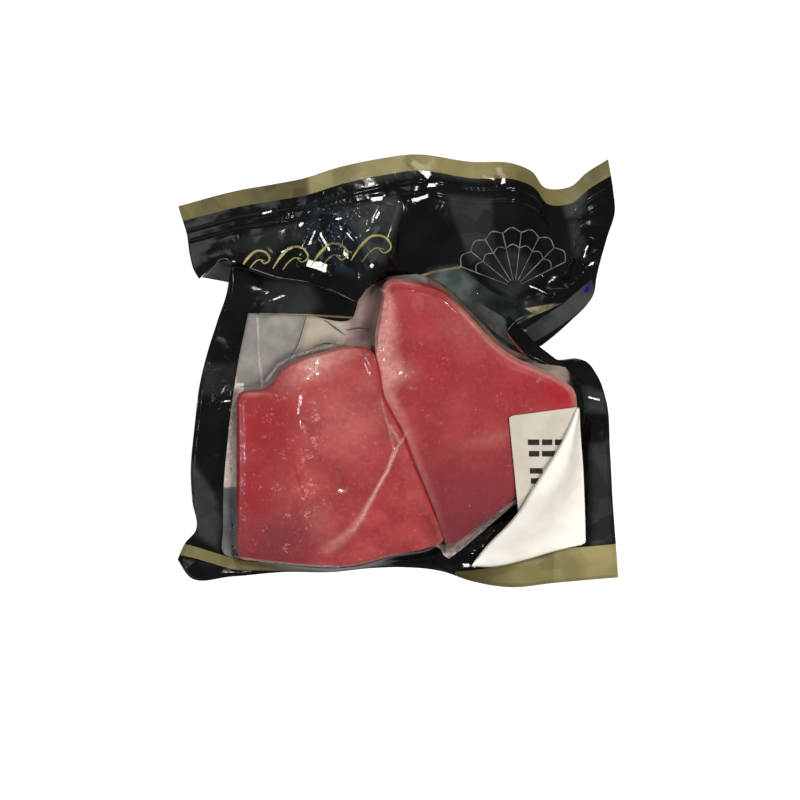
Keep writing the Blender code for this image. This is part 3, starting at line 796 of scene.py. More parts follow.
def raw_tuna(name, cut, frost_level):
    made, tree = new_material(name)
    place = add(tree, "TexCoord", out="Object")
    cloud = cloudy(tree, TUNA_CLOUD_MM, 3.0, 0.32, 0.68)
    patches = cloudy(tree, TUNA_PATCH_MM, 3.0, 0.4, 0.64, 0.5)
    mottle = add(tree, "TexNoise", {
        "Vector": place, "Scale": per_metre(TUNA_MOTTLE_MM), "Detail": 4.0,
    })
    specks = add(tree, "MapRange", {
        "Value": mottle, "From Min": 0.48, "From Max": 0.75, "To Max": 0.28,
    }, **SOFT)
    flecks = add(tree, "TexNoise", {
        "Vector": place, "Scale": per_metre(FLECK_MM), "Detail": 5.0, "Roughness": 0.65, "Distortion": 0.3,
    })
    flecks = add(tree, "MapRange", {"Value": flecks, "From Min": 0.64, "From Max": 0.74, "To Max": 0.55})
    deep_red_and_shade = add(tree, "Attribute", out="Fac", attribute_name="deep_red_and_shade")
    dull_and_shaded = add(tree, "Attribute", out="Fac", attribute_name="dull_and_shaded")
    pale = add(tree, "Attribute", out="Fac", attribute_name="pale")
    patchy = add(tree, "MapRange", {"Value": mottle, "From Min": 0.3, "From Max": 0.62, "To Min": 0.55})
    pale = add(tree, "Math", {0: pale, 1: patchy}, operation="MULTIPLY")
    grains = add(tree, "TexNoise", {
        "Vector": place, "Scale": per_metre(FROST_GRAIN_MM), "Detail": 5.0, "Roughness": 0.7,
    })
    clumps = add(tree, "TexNoise", {"Vector": place, "Scale": per_metre(FROST_CLUMP_MM), "Detail": 2.0})
    clumps = add(tree, "MapRange", {
        "Value": clumps, "From Min": 0.35, "From Max": 0.65, "To Min": 0.84, "To Max": 1.2,
    })
    frost_and_highlight = add(tree, "Attribute", out="Fac", attribute_name="frost_and_highlight")
    frost_and_highlight = add(tree, "Math", {0: frost_and_highlight, 1: grains}, operation="MULTIPLY")
    frost_and_highlight = add(tree, "Math", {0: frost_and_highlight, 1: clumps}, operation="MULTIPLY")
    frost_and_highlight = add(tree, "MapRange", {
        "Value": frost_and_highlight, "From Min": frost_level, "From Max": frost_level + 0.12, "To Max": 0.5,
    })
    colour = linear(cut[0])
    for share, tint in (
        (cloud, cut[1]), (patches, cut[2]), (specks, cut[3]), (flecks, TORN_FLECK),
        (deep_red_and_shade, DEEP_RED_AND_SHADE), (dull_and_shaded, MAUVE), (pale, PALE_PINK_AND_HIGHLIGHT), (frost_and_highlight, FROST_AND_HIGHLIGHT_PINK),
    ):
        colour = add(tree, "Mix", {0: share, 6: colour, 7: linear(tint)}, 2, data_type="RGBA")
    normal = add(tree, "Bump", {"Height": mottle, "Distance": 0.4 * MM, "Strength": 0.5})
    shader = add(tree, "BsdfPrincipled", {
        "Base Color": colour,
        "Roughness": 0.4,
        "IOR": 1.38,
        "Subsurface Weight": 0.2,
        "Subsurface Radius": (1.0, 0.25, 0.15),
        "Subsurface Scale": 1.5 * MM,
        "Normal": normal,
    })
    add(tree, "OutputMaterial", {"Surface": shader})
    return made


# %% [markdown]
# ## Label paper and inks
#
# The label is a white coated paper. Its coating is smooth but not glossy, with a faint cloudiness from the
# fibres. The printed rows on it are plain dark bars, and the motifs on the header are lines of gold and
# pale ink. Each ink is a little uneven, as thin ink is.

# %% Paper and ink
def coated(name, dark, light, cloud_mm, roughness, bump_mm=0.0):
    """An even coat that is a little cloudy: paper or ink."""
    made, tree = new_material(name)
    place = add(tree, "TexCoord", out="Object")
    cloud = add(tree, "TexNoise", {"Vector": place, "Scale": per_metre(cloud_mm), "Detail": 3.0})
    share = add(tree, "MapRange", {"Value": cloud, "From Min": 0.35, "From Max": 0.65}, **SOFT)
    colour = add(tree, "Mix", {0: share, 6: linear(dark), 7: linear(light)}, 2, data_type="RGBA")
    normal = add(tree, "Bump", {"Height": cloud, "Distance": bump_mm * MM, "Strength": 0.3})
    shader = add(tree, "BsdfPrincipled", {
        "Base Color": colour, "Roughness": roughness, "IOR": 1.5, "Normal": normal,
    })
    add(tree, "OutputMaterial", {"Surface": shader})
    return made


# %% [markdown]
# ## The fish
#
# Each portion is a slab cut across a loin, with a rounded top edge and upright sides. It could be carved
# from a block, but a ball whose rings are laid out as a section gives clean, closed quads: the ball's
# rings become the top, the rounded edge, the side and the base.

# %% Portions
SECTION = [0.0, 0.5, 0.62, 0.70, 0.78, 0.86, 0.93, 1.0]   # stations from mid top to mid base
FOOT_INSETS = (0.6, 2.5)   # how far the side has drawn in where the foot's rounding starts and ends
FOOT_RISE = 1.4            # height above the base at which that rounding starts


def portion(name, middle, outline, top, edge, relief):
    bm = bmesh.new()
    bmesh.ops.create_uvsphere(bm, u_segments=300, v_segments=150, radius=1.0)
    ball = np.array([v.co for v in bm.verts])
    rim = smooth(outline + outline[:1], 1441)
    turn = (np.arctan2(ball[:, 1], ball[:, 0]) / (2 * math.pi)) % 1.0
    down = np.arccos(np.clip(ball[:, 2], -1, 1)) / math.pi
    spoke = along(rim, turn) - np.array(middle)
    reach = np.hypot(*spoke.T)
    round_edge = edge(*(spoke + np.array(middle)).T) * np.ones(len(ball))
    insets = [reach, EDGE_INSETS[2] * round_edge, EDGE_INSETS[1] * round_edge, 0, 0, *FOOT_INSETS, reach]
    inset = section(down, insets)
    x, y = (np.array(middle) + spoke * (1 - inset / reach)[:, None]).T
    full = top(x, y)
    base = FILM + GAP
    levels = [full, full - 0.3, full - EDGE_DROPS[1] * round_edge, full - EDGE_DROPS[0] * round_edge]
    z = section(down, levels + [0.4 * full, base + FOOT_RISE, base, base])
    z += relief(x, y) * step(0.62, 0.45, down)
    for vert, place in zip(bm.verts, np.stack([x, y, z], axis=1) * MM):
        vert.co = place
    return linked(name, bm), x, y, down


def section(down, values):
    """The value at each place between a section's stations."""
    table = np.stack([np.broadcast_to(value, down.shape) for value in values])
    station = np.interp(down, SECTION, np.arange(len(SECTION)))
    low = np.clip(station.astype(int), 0, len(SECTION) - 2)
    share = station - low
    every = np.arange(len(down))
    return table[low, every] * (1 - share) + table[low + 1, every] * share


def left_relief(x, y):
    return -0.2 + creases(x, y, 40, ((-80, -97), (10, 10)), (14, 50), (2.5, 7), 0.3, 2)


def right_relief(x, y):
    return -0.2 + creases(x, y, 40, ((-10, -88), (88, 46)), (14, 50), (2.5, 7), 0.3, 4)


# %% Left portion
tuna, x, y, down = portion("tuna_left_portion", LEFT_MIDDLE, LEFT_OUTLINE, left_top, left_edge, left_relief)
near_left = inside(x, y, LEFT_OUTLINE)
face = step(CUT_RIDGE - 2.0, CUT_RIDGE - 7.0, x)
LOWER_WEDGE = [   # clear red below the crease
    (-2, -38), (-11, -59), (-23, -79), (-33, -86), (-26, -92), (16, -84),
]
RIDGE_LINE = [(-53.5, -14.0), (-53.0, -35.0), (-51.5, -50.0), (-47.0, -62.0)]
wedge = step(0.5, 6.0, inside(x, y, LOWER_WEDGE, 0))
ridge_line = step(1.3, 0.3, from_path(x, y, RIDGE_LINE))
LEFT_DEEP = [
    (-66, -26, 16, 28, 0, 1.0), (-72, -58, 13, 24, 0, 0.75),
    (-16, -46, 6, 4, 30, 0.35), (-8, 2, 8, 8, 0, 0.4),
]
# Painted shade: deep red along the left rim, where the rounded edge would catch light, and beside the groove.
left_rim_shade = 0.9 * step(3.0, 0.5, near_left) * step(-70.0, -76.0, x)
deep_red_and_shade = np.maximum(spots(x, y, LEFT_DEEP) * (0.25 + 0.75 * face) + 0.2 * wedge, 0.5 * ridge_line)
groove_shade = 0.8 * step(2.2, 0.3, near_left) * step(-24.0, -18.0, x)
keep(tuna, "deep_red_and_shade", np.maximum(deep_red_and_shade, np.maximum(left_rim_shade, groove_shade)))
# Painted shade: dull mauve at the lower left, in the dimple and a little over the left side face.
LEFT_DULL_AND_SHADED = [(-58, -86, 26, 16, 0, 0.65), (-30, -53, 4, 8, 0, 0.28), (-76, -92, 10, 12, 0, 0.5)]
keep(tuna, "dull_and_shaded", spots(x, y, LEFT_DULL_AND_SHADED) + 0.12 * face)
# Pale pink, mostly painted highlights: an orange-white one near the top, one along the top edge and a glint
# in the dimple.
LEFT_PALE_AND_HIGHLIGHTS = [
    (-43, 1, 4, 3, 30, 0.9), (-47, -4, 3, 2, 0, 0.6), (-40, 4, 18, 7, 28, 0.75), (-25, -25, 22, 16, 0, 0.16),
    (-72, -11.5, 10, 1.2, 0, 0.4), (-28.5, -60, 1.8, 0.8, 10, 0.9), (-40, -72, 8, 10, 0, 0.15),
]
CREASE = [(-1.5, -39), (-6, -50), (-12, -60.5), (-17, -70), (-22.5, -78), (-29, -84), (-36, -89)]
crease_width = np.interp(y, [-90, -78, -60, -40], [5.0, 3.0, 1.2, 1.6])
crease_share = np.interp(y, [-90, -78, -60, -40], [0.3, 0.55, 0.75, 0.8])
on_crease = crease_share * step(crease_width, 0.2, from_path(x, y, CREASE))
pale = np.maximum(spots(x, y, LEFT_PALE_AND_HIGHLIGHTS) + 0.35 * step(1.8, 0.4, near_left) * step(-60, -90, y), on_crease)
keep(tuna, "pale", pale)
frost_ridge = np.exp(-((x + 45.0 - 0.1 * (y + 50)) / 7.0) ** 2) * step(-92, -70, y) * step(0, -16, y)
broken = planes(x, y, 5.0, 41)
keep(tuna, "frost_and_highlight", 0.84 + 0.32 * frost_ridge * broken + 0.08 * face + 0.08 * broken)
pinker = ("#8f3336", "#ab4b49", "#9c3537", "#c2645f")
place_on_pack(tuna, raw_tuna("raw tuna loin, pinker cut", pinker, 0.62), "tuna_left")

# %% Right portion
tuna, x, y, down = portion(
    "tuna_right_portion", RIGHT_MIDDLE, RIGHT_OUTLINE, right_top, right_edge, right_relief
)
near_right = inside(x, y, RIGHT_OUTLINE)
on_left_side = step(4, -4, x - np.interp(y, [-84, 46], [30, 8]))
band = np.interp(y, [-84, -40, -12, 0, 20, 36, 44], [4.0, 5.5, 8.0, 14.5, 14.0, 7.0, 3.0])
strength = np.interp(y, [-84, -25, 0, 30, 42], [0.05, 0.3, 0.75, 0.85, 0.6])
pale_side = step(1.05, 0.3, near_right / band) * on_left_side * strength
pale_top = 0.6 * step(4.0, 0.8, near_right) * (1 - on_left_side) * step(-30, -5, y) * step(40, 28, y)
RIGHT_PALE = [(2, -1, 6, 5, 0, 0.35), (45, -34, 16, 4, 15, 0.16), (30, 20, 16, 10, -40, 0.12)]
keep(tuna, "pale", np.maximum(pale_side, pale_top) + spots(x, y, RIGHT_PALE))
RIGHT_DEEP = [
    (10, 34, 16, 12, 0, 0.5), (80, -12, 12, 8, -20, 0.85),
    (20, 6, 14, 14, 0, 0.3), (60, -8, 20, 10, -30, 0.3),
]
# Painted shade: deep red beside the groove.
groove_shade = 0.9 * step(1.8, 0.3, near_right) * on_left_side * step(10.0, -20.0, y)
keep(tuna, "deep_red_and_shade", np.maximum(0.12 + spots(x, y, RIGHT_DEEP) * (1 - pale_side), groove_shade))
# Dull mauve towards the bottom, as painted shade.
keep(tuna, "dull_and_shaded", 0.85 * step(-16, -84, y))
frost_patch = np.exp(-(np.hypot(x - 3, (y + 1) / 0.9) / 5.0) ** 2)
frost_patch += 0.2 * np.exp(-((near_right - 2) / 2.5) ** 2)
# Painted highlight: frost grains along the upper left edge stand in for a bright line of light.
HIGHLIGHT_EDGE = [(-5.5, 35.5), (-9.0, 29.0), (-11.0, 22.0), (-11.5, 12.0)]
broken = planes(x, y, 5.0, 42)
edge_highlight = step(2.2, 0.3, from_path(x, y, HIGHLIGHT_EDGE))
keep(tuna, "frost_and_highlight", 0.84 + 0.26 * frost_patch + 0.35 * edge_highlight + 0.1 * broken ** 2)
redder = ("#8c3134", "#a54143", "#90363a", "#bb5a56")
place_on_pack(tuna, raw_tuna("raw tuna loin, redder cut", redder, 0.62), "tuna_right")

# %% [markdown]
# ## Painted shade in the groove
#
# The groove between the portions lies in shade and shows as a soft deep red line. The red could be painted
# on the sides of the groove alone, but little light gets down to them and they show as a dark line. A
# narrow dark red strip just under the film is lit, so it gives the soft red line of a real pack: it is
# painted shade. It follows the side that the portions share.

# %% Painted shade in the groove
GROOVE_WIDTH = 2.4        # the juice reaches this wide where the two rounded edges meet
GROOVE_DEPTH = 0.5        # and lies this far below the tops of the fish
GROOVE_FALL = 0.4         # and this much lower at its two sides
GROOVE_STRIP_THICK = 0.4
ACROSS_GROOVE = np.array([0.94, 0.34])


def groove_surface(u, v):
    p = along(smooth(SHARED_SIDE), 0.01 + 0.98 * u) + ((v - 0.5) * GROOVE_WIDTH)[..., None] * ACROSS_GROOVE
    x, y = p[..., 0], p[..., 1]
    level = np.minimum(left_top(x, y), right_top(x, y)) - GROOVE_DEPTH
    return np.stack([x, y, level - 2 * GROOVE_FALL * np.abs(v - 0.5)], axis=-1)


groove, u, v = grid("shade_in_groove", groove_surface, 160, 4)
thicken(groove, GROOVE_STRIP_THICK)
place_on_pack(groove, coated("dark red painted shade in the groove", "#6d151b", "#8e2429", 6.0, 0.25))

# %% [markdown]
# ## The back of the pouch
#
# The back film is one sheet that carries the pack. Under the window its inner face shows, so a second sheet
# just above it carries the grey-white colour. The body's four edges bound both, and the front film too, so
# that all three meet at the seals.

# %% Back film and lining
body_place = patch(BODY_BOTTOM, BODY_TOP, BODY_LEFT, BODY_RIGHT)
LAMINATE = 0.2        # thickness of one film with its print
LINING_LIFT = 0.15    # the lining's sheet stays clear of the back film by this much


def back_surface(u, v):
    p = body_place(u, v)
    x, y = p[..., 0], p[..., 1]
    return np.stack([x, y, back_height(x, y)], axis=-1)


def lining_surface(u, v):
    p = body_place(0.03 + 0.94 * u, 0.03 + 0.94 * v)
    x, y = p[..., 0], p[..., 1]
    return np.stack([x, y, back_height(x, y) + LAMINATE + LINING_LIFT], axis=-1)


def keep_plain_black(obj, painted_sheen):
    """A sheet of laminate that is black all over, with this much painted grey reflection."""
    for name, value in (("gold", -1.0), ("gold_shading", 0.5), ("painted_sheen", painted_sheen), ("navy", 0.0)):
        keep(obj, name, value)


laminate = black_laminate()
back, u, v = grid("pouch_back", back_surface, 120, 120)
keep_plain_black(back, 0.0)
thicken(back, LAMINATE, 1.0)
place_on_pack(back, laminate, "pouch")

# %% What shows through the window
CREAM_AREAS = [[(-49, 5), (-46.5, 27), (-27, 27), (-24, 10), (-38, 8)]]
# Painted light: the strip left of the left portion is painted whiter, then slate, against the shadow the
# portion casts on it.
LIT_STRIP_AREAS = [[(-91, -58), (-86, -6), (-78, -6), (-78, -58)]]
LIT_SLATE_AREAS = [[(-93, -95), (-91, -58.5), (-78, -59), (-78, -95)]]
ROSY_AREAS = [
    [(-26, 14), (-27, 27), (-22, 40), (-6, 46), (-6, 14)],
    [(62, 8), (70, 2), (92, -6), (84, 8), (72, 12)],
]
# Painted shadow along the left portion's top edge.
OLIVE_SHADOW_AREAS = [[(-52, 6), (-45, 11), (-33, 11), (-26, 15), (-26, 9), (-38, 7)]]
# Dark where the black print folds in under the edge, and painted shade under the header.
DARK_FOLD_AND_SHADE_AREAS = [
    [(22, -100), (50, -77), (92, -50), (92, -104)],
    [(20, 56), (24, 40), (40, 22), (60, 5), (72, 4), (78, 12), (60, 40)],
]

lining, u, v = grid("inner_face", lining_surface, 200, 160)
x, y, z = places(lining)
for name, areas in (
    ("cream", CREAM_AREAS), ("rosy", ROSY_AREAS), ("olive_shadow", OLIVE_SHADOW_AREAS), ("dark", DARK_FOLD_AND_SHADE_AREAS),
    ("white", LIT_STRIP_AREAS), ("slate", LIT_SLATE_AREAS),
):
    keep(lining, name, np.max([inside(x, y, area, 0) for area in areas], axis=0))
on_diagonal = np.minimum(x - 14.0, 62.0 - x)
keep(lining, "web", np.minimum(4.5 - beyond_right(x, y), np.minimum(on_diagonal, y)))
# Painted shade: dark red between the portions and along the left portion's lower edge.
between = 3.0 - np.maximum(beyond_left(x, y), beyond_right(x, y))
along_bottom = np.minimum(2.5 - beyond_left(x, y), -90.0 - y)
keep(lining, "red_shade_by_fish", np.maximum(between, along_bottom))
place_on_pack(lining, inner_face())

# %% [markdown]
# ## The front of the pouch
#
# The front film is one sheet too: a clear window with a black printed border and a gold band along the
# bottom. The distance to each edge of the print is kept on its vertices, so that the line between two inks
# stays sharp however coarse the mesh is. Milky lines mark where the film is pinched between the portions;
# a few of them are painted highlights near the left portion's top and painted light on the strip left of
# it. Painted shade and light vary the gold, and painted grey reflections lie on the black.

# %% Print on the front
WINDOW = [
    (-75.5, 29.0), (-80.5, 5.0), (-82.6, -8.0), (-85.6, -32.0), (-88.0, -60.0), (-88.2, -80.0),
    (-88.0, -91.5), (-80.0, -94.6), (-66.0, -95.8), (-50.0, -97.4), (-35.0, -98.4), (-23.5, -97.8),
    (-4.0, -92.9), (10.0, -89.6), (19.5, -87.6), (24.5, -94.5), (28.0, -92.0), (43.0, -79.5), (58.0, -66.5),
    (72.0, -56.0), (87.0, -38.0), (90.0, -16.0), (86.5, -4.0), (85.0, 1.0), (77.0, 3.0), (69.0, 4.0),
    (62.0, 10.5), (54.5, 20.0), (54.0, 25.0), (57.0, 33.0), (50.0, 45.0), (30.0, 53.0), (10.0, 49.0),
    (-8.0, 46.0), (-19.0, 38.5), (-23.5, 26.5), (-46.5, 28.0),
]
WINDOW_GOLD = [(-70.0, 28.6), (-46.5, 28.2), (-23.5, 26.8)]   # a thin gold line along the window's top
GOLD_BOTTOM_TOP = [
    (-111.0, -86.0), (-102.0, -88.0), (-94.0, -90.5), (-82.5, -94.0), (-66.5, -96.0), (-50.5, -98.5),
    (-35.0, -100.5), (0.0, -100.5), (36.0, -100.0), (43.5, -99.0), (50.5, -97.5), (64.5, -94.0),
    (79.0, -89.5), (94.5, -88.0), (110.5, -86.5),
]
GOLD_DEPTH = [
    (-111.0, 6.0), (-82.0, 5.5), (-66.0, 4.0), (-50.0, 2.0), (-35.0, 0.0), (28.0, 0.0), (34.0, 30.0),
]
# Painted shade and light on the gold band: darker at the left, paler at the right.
FRONT_GOLD_SHADING = [
    (-111.0, 0.6), (-95.0, 0.55), (-80.0, 0.4), (-65.0, 0.22), (-50.0, 0.1), (-35.0, 0.0), (36.0, 0.1),
    (55.0, 0.3), (77.0, 0.38), (78.5, 0.65), (90.0, 0.75), (110.0, 0.8),
]
# Painted grey reflections on the black border and flanges.
FRONT_SHEEN = [
    ([(-68, 45), (-45, 44), (-38, 33), (-46, 28), (-68, 29)], 0.4),
    ([(-99, 3), (-82, 4), (-83, -10), (-99, -12)], 0.3),
    ([(-104, -45), (-93, -62), (-89, -75), (-91, -89), (-102, -82), (-104, -66)], 0.75),
    ([(93, -8), (103, -11), (104, -21), (94, -20)], 0.85),
    ([(96, -37), (105, -35), (107, -85), (97, -88)], 0.55),
]
# Milky pinched film; a few lines are painted highlights and painted light.
MILKY_AND_LIT_LINES = [
    ([(-1.5, -39.0), (-6.0, -50.0), (-12.0, -60.5), (-18.0, -72.0), (-22.5, -79.0)], 0.9, 0.25),
    ([(-9.0, -14.0), (-5.5, -27.0), (-2.5, -39.0)], 0.7, 0.3),
    ([(-4.5, -27.0), (-1.0, -33.0), (0.5, -36.0)], 1.0, 0.3),
    ([(-1.5, -39.0), (1.5, -35.0), (3.5, -31.0)], 0.8, 0.3),
    ([(19.5, -87.5), (24.0, -95.0)], 0.9, 0.8),
    ([(24.5, -92.2), (41.5, -80.2), (57.0, -68.0)], 3.4, 0.8),
    ([(-82.0, -93.0), (-66.0, -95.2), (-45.0, -97.0), (-30.0, -97.6)], 0.7, 0.45),
    ([(-85.5, 4.5), (-82.5, 0.0), (-81.5, -9.0)], 1.0, 0.85),
    ([(-86.0, -2.0), (-82.5, 3.0)], 0.6, 0.8),
    # painted light on the strip that the left portion shades
    ([(-83.8, -9.0), (-84.6, -30.0), (-85.6, -56.0)], 3.4, 0.75),
    ([(-66.5, -5.0), (-60.5, 3.0), (-52.5, 7.6), (-38.5, 11.6), (-28.0, 14.4)], 0.9, 0.95),
    ([(-71.0, 27.0), (-70.3, 8.0), (-68.5, -8.0)], 0.6, 0.6),
    # painted highlight near the left portion's top, over the next three lines
    ([(-46.5, 1.0), (-43.5, 5.5), (-40.0, 6.5)], 1.5, 0.45),
    ([(-40.0, 5.0), (-41.5, 0.0), (-45.5, -3.5)], 1.3, 0.55),
    ([(-43.5, 5.0), (-43.0, -1.0)], 1.0, 0.35),
    ([(24.0, 41.5), (37.0, 28.0), (47.0, 17.5), (58.0, 9.0), (72.0, 2.5), (84.0, -4.0)], 1.0, 0.18),
    ([(-16.5, 43.5), (-12.0, 43.0), (-7.5, 39.5)], 1.0, 0.7),
]
CRUMPLED = ((34.0, -97.0), (58.0, -72.0))   # where the film is crushed below the right portion
CRUSHED_FLANGE = ((-96.0, -20.0), (-84.0, 6.0))
OVER_THE_FISH = ((-80, -98), (90, 46))
WHOLE_BODY = ((-110, -108), (110, 60))
FRONT_GLINTS = [
    (-49.2, -14.0, 3.6, 2.5, 82, SIDE_LAMP), (-50.0, -20.2, 3.4, 1.6, 92, SIDE_LAMP),
    (-49.0, -25.5, 2.6, 1.4, 80, SIDE_LAMP), (-47.6, -30.0, 2.0, 1.2, 110, SIDE_LAMP),
    (-41.2, 4.0, 2.4, 1.3, 62, TOP_LAMP), (-44.0, 1.0, 1.8, 1.1, 20, TOP_LAMP),
    (-40.6, -1.6, 2.0, 1.1, 50, TOP_LAMP), (-45.4, -4.2, 1.7, 1.1, -20, TOP_LAMP),
    (-29.0, -59.6, 2.0, 1.1, 8, TOP_LAMP), (-9.0, 28.0, 6.0, 1.3, 108, SIDE_LAMP),
    (0.8, -1.2, 2.6, 1.1, 30, TOP_LAMP), (-88.0, -9.5, 4.0, 1.0, 60, TOP_LAMP),
    (-86.0, -15.0, 3.0, 1.0, 10, TOP_LAMP), (33.6, -97.6, 3.0, 1.8, 10, TOP_LAMP),
    (98.5, -14.0, 5.0, 1.2, -14, TOP_LAMP), (-60.0, 37.0, 4.0, 1.0, 24, TOP_LAMP),
    (52.0, -68.5, 2.4, 1.1, 40, TOP_LAMP), (44.0, -80.0, 3.0, 1.1, 40, TOP_LAMP),
]

# %% Front film
RIM = 0.012           # share of the body over which the front film meets the back
PINCH_RISE = 0.35     # height of the little ridges where the film is pinched


def rim_share(u, v):
    """0 on the body's outline and 1 well inside it."""
    return np.clip(np.minimum(np.minimum(u, 1 - u), np.minimum(v, 1 - v)) / RIM, 0.0, 1.0)


def front_surface(u, v):
    p = body_place(u, v)
    x, y = p[..., 0], p[..., 1]
    back = back_height(x, y)
    z = front_height(x, y)
    on_label = step(-2.5, 1.0, inside(x, y, LABEL_AREA, 0))
    z = z + on_label * np.maximum(label_base(x, y) - UNDER_LABEL - z, 0.0)
    off = np.minimum(beyond_left(x, y), beyond_right(x, y))
    clear_of_flap = 1 - step(-4.0, 1.0, inside(x, y, FLAP_AREA, 0))
    loose = step(1.5, 11.0, off) * clear_of_flap
    z = z + loose * (facets(x, y, 5, (17, 32), 0.8, 3) + 0.8)
    z = z + loose * creases(x, y, 60, WHOLE_BODY, (8, 30), (2, 5), 0.6, 3)
    z = z + step(2.0, 6.0, off) * np.abs(creases(x, y, 26, CRUMPLED, (4, 12), (0.8, 2.2), 1.3, 6))
    z = z + step(1.5, 4.0, off) * np.abs(creases(x, y, 26, CRUSHED_FLANGE, (3, 10), (0.8, 2.0), 0.9, 9))
    tight = (1 - loose) * clear_of_flap
    z = z + tight * creases(x, y, 120, OVER_THE_FISH, (4, 20), (0.9, 2.0), 0.34, 5)
    for path, width, _ in MILKY_AND_LIT_LINES:
        z = z + PINCH_RISE * np.clip(1 - from_path(x, y, path) / (width * 1.4), 0, 1)
    z = bend_to(x, y, z, FRONT_GLINTS, 0.25)
    z = np.maximum(z, fish_height(x, y) + LEAST_COVER)
    z = back + (z - back) * rim_share(u, v)
    return np.stack([x, y, np.maximum(z, back + LAMINATE + 0.5 * rim_share(u, v))], axis=-1)


front, u, v = grid("pouch_front", front_surface, 308, 308)
x, y, z = places(front)
keep(front, "window", np.minimum(inside(x, y, WINDOW), from_path(x, y, WINDOW_GOLD) - 0.5))
gold_top = np.interp(x, *smooth(GOLD_BOTTOM_TOP).T)
gold_low = gold_top - np.interp(x, *np.array(GOLD_DEPTH).T)
window_gold = 0.45 - from_path(x, y, WINDOW_GOLD)
keep(front, "gold", np.maximum(np.minimum(gold_top - y, y - gold_low), window_gold))
# Painted light and shade on the inks, changing from facet to facet.
plane = planes(x, y, 9.0, 31)
gold_shading = np.interp(x, *np.array(FRONT_GOLD_SHADING).T) + 0.25 * step(-90, 0, y)
keep(front, "gold_shading", gold_shading + 0.2 * (plane - 0.5))
keep(front, "painted_sheen", soft_areas(x, y, FRONT_SHEEN, 2.5) * (0.5 + 0.4 * plane) + 0.03 * plane)
keep(front, "navy", 0.0)
milk_and_light = [
    share * step(width * 1.1, width * 0.25, from_path(x, y, path)) for path, width, share in MILKY_AND_LIT_LINES
]
keep(front, "haze_and_highlight", np.max(milk_and_light, axis=0))
place_on_pack(front, clear_window())

# %% [markdown]
# ## The zip header
#
# The header is the part above the window: a seal, two zip ribs and a wide black panel that has slumped over
# the body. It is a patch between four edges whose heights follow the photographed droop. Its main folds
# are listed one by one, because they carry the light that makes the film look like film.

# %% Folds of the header
GOLD_BAND = 7.8       # width of the gold band along the header's top edge
ZIP_RIBS = (13.5, 19.0)   # distance of each zip rib below the header's top edge
ZIP_RIB_WIDTH = 1.6
ZIP_RIB_HEIGHT = 0.8
LOWEST_SEAL = 0.3
SOFT_FOLDS = [
    ((-7.0, 52.0), (13.0, 104.0), 4.5, 8.0),
    ((1.0, 54.0), (3.0, 84.0), -2.5, 3.5),
    ((-31.0, 48.0), (-22.0, 84.0), 2.6, 8.0),
    ((52.0, 36.0), (60.0, 98.0), 4.0, 10.0),
    ((80.0, 92.0), (84.0, 50.0), -4.5, 7.0),
    ((101.0, 53.0), (57.0, 22.0), 4.0, 6.0),
    ((-70.0, 60.0), (-60.0, 84.0), 1.8, 8.0),
]
SHARP_FOLDS = [
    ((0.5, 84.0), (-12.5, 50.0), 1.8, 9.0),
    ((-30.0, 82.0), (-44.0, 60.0), 1.0, 6.0),
    ((-44.0, 92.0), (-52.0, 66.0), 0.7, 5.0),
    ((-90.0, 66.0), (-40.0, 80.0), 0.6, 4.0),
    ((8.0, 105.0), (17.0, 97.0), 1.4, 2.6),
    ((49.0, 104.0), (52.0, 94.0), 1.4, 2.6),
    ((22.0, 84.0), (24.0, 50.0), 0.9, 7.0),
    ((44.0, 82.0), (34.0, 54.0), 0.8, 7.0),
    ((95.0, 52.0), (70.0, 70.0), 0.9, 3.5),
    ((96.0, 52.0), (76.0, 40.0), 0.9, 3.5),
    ((96.0, 53.0), (108.0, 62.0), 0.9, 3.0),
    ((93.0, 78.0), (106.0, 86.0), 0.8, 3.5),
    ((80.0, 78.0), (93.0, 60.0), 1.0, 3.0),
    ((-46.0, 54.0), (-34.0, 50.0), 1.2, 3.0),
    ((-36.0, 70.0), (-31.0, 56.0), 1.0, 2.4),
]
RUFFLES = [   # start, end and number of ticks
    ((33.0, 91.5), (50.5, 90.0), 7), ((-64.0, 75.5), (-54.0, 77.5), 5), ((-38.0, 83.0), (-26.0, 86.0), 6),
]
HEADER_CRUSHED = [
    ((-47.0, 48.0), (-15.0, 84.0)), ((60.0, 36.0), (97.0, 72.0)), ((-60.0, 84.0), (0.0, 100.0)),
]
WHOLE_HEADER = ((-110, 30), (110, 105))
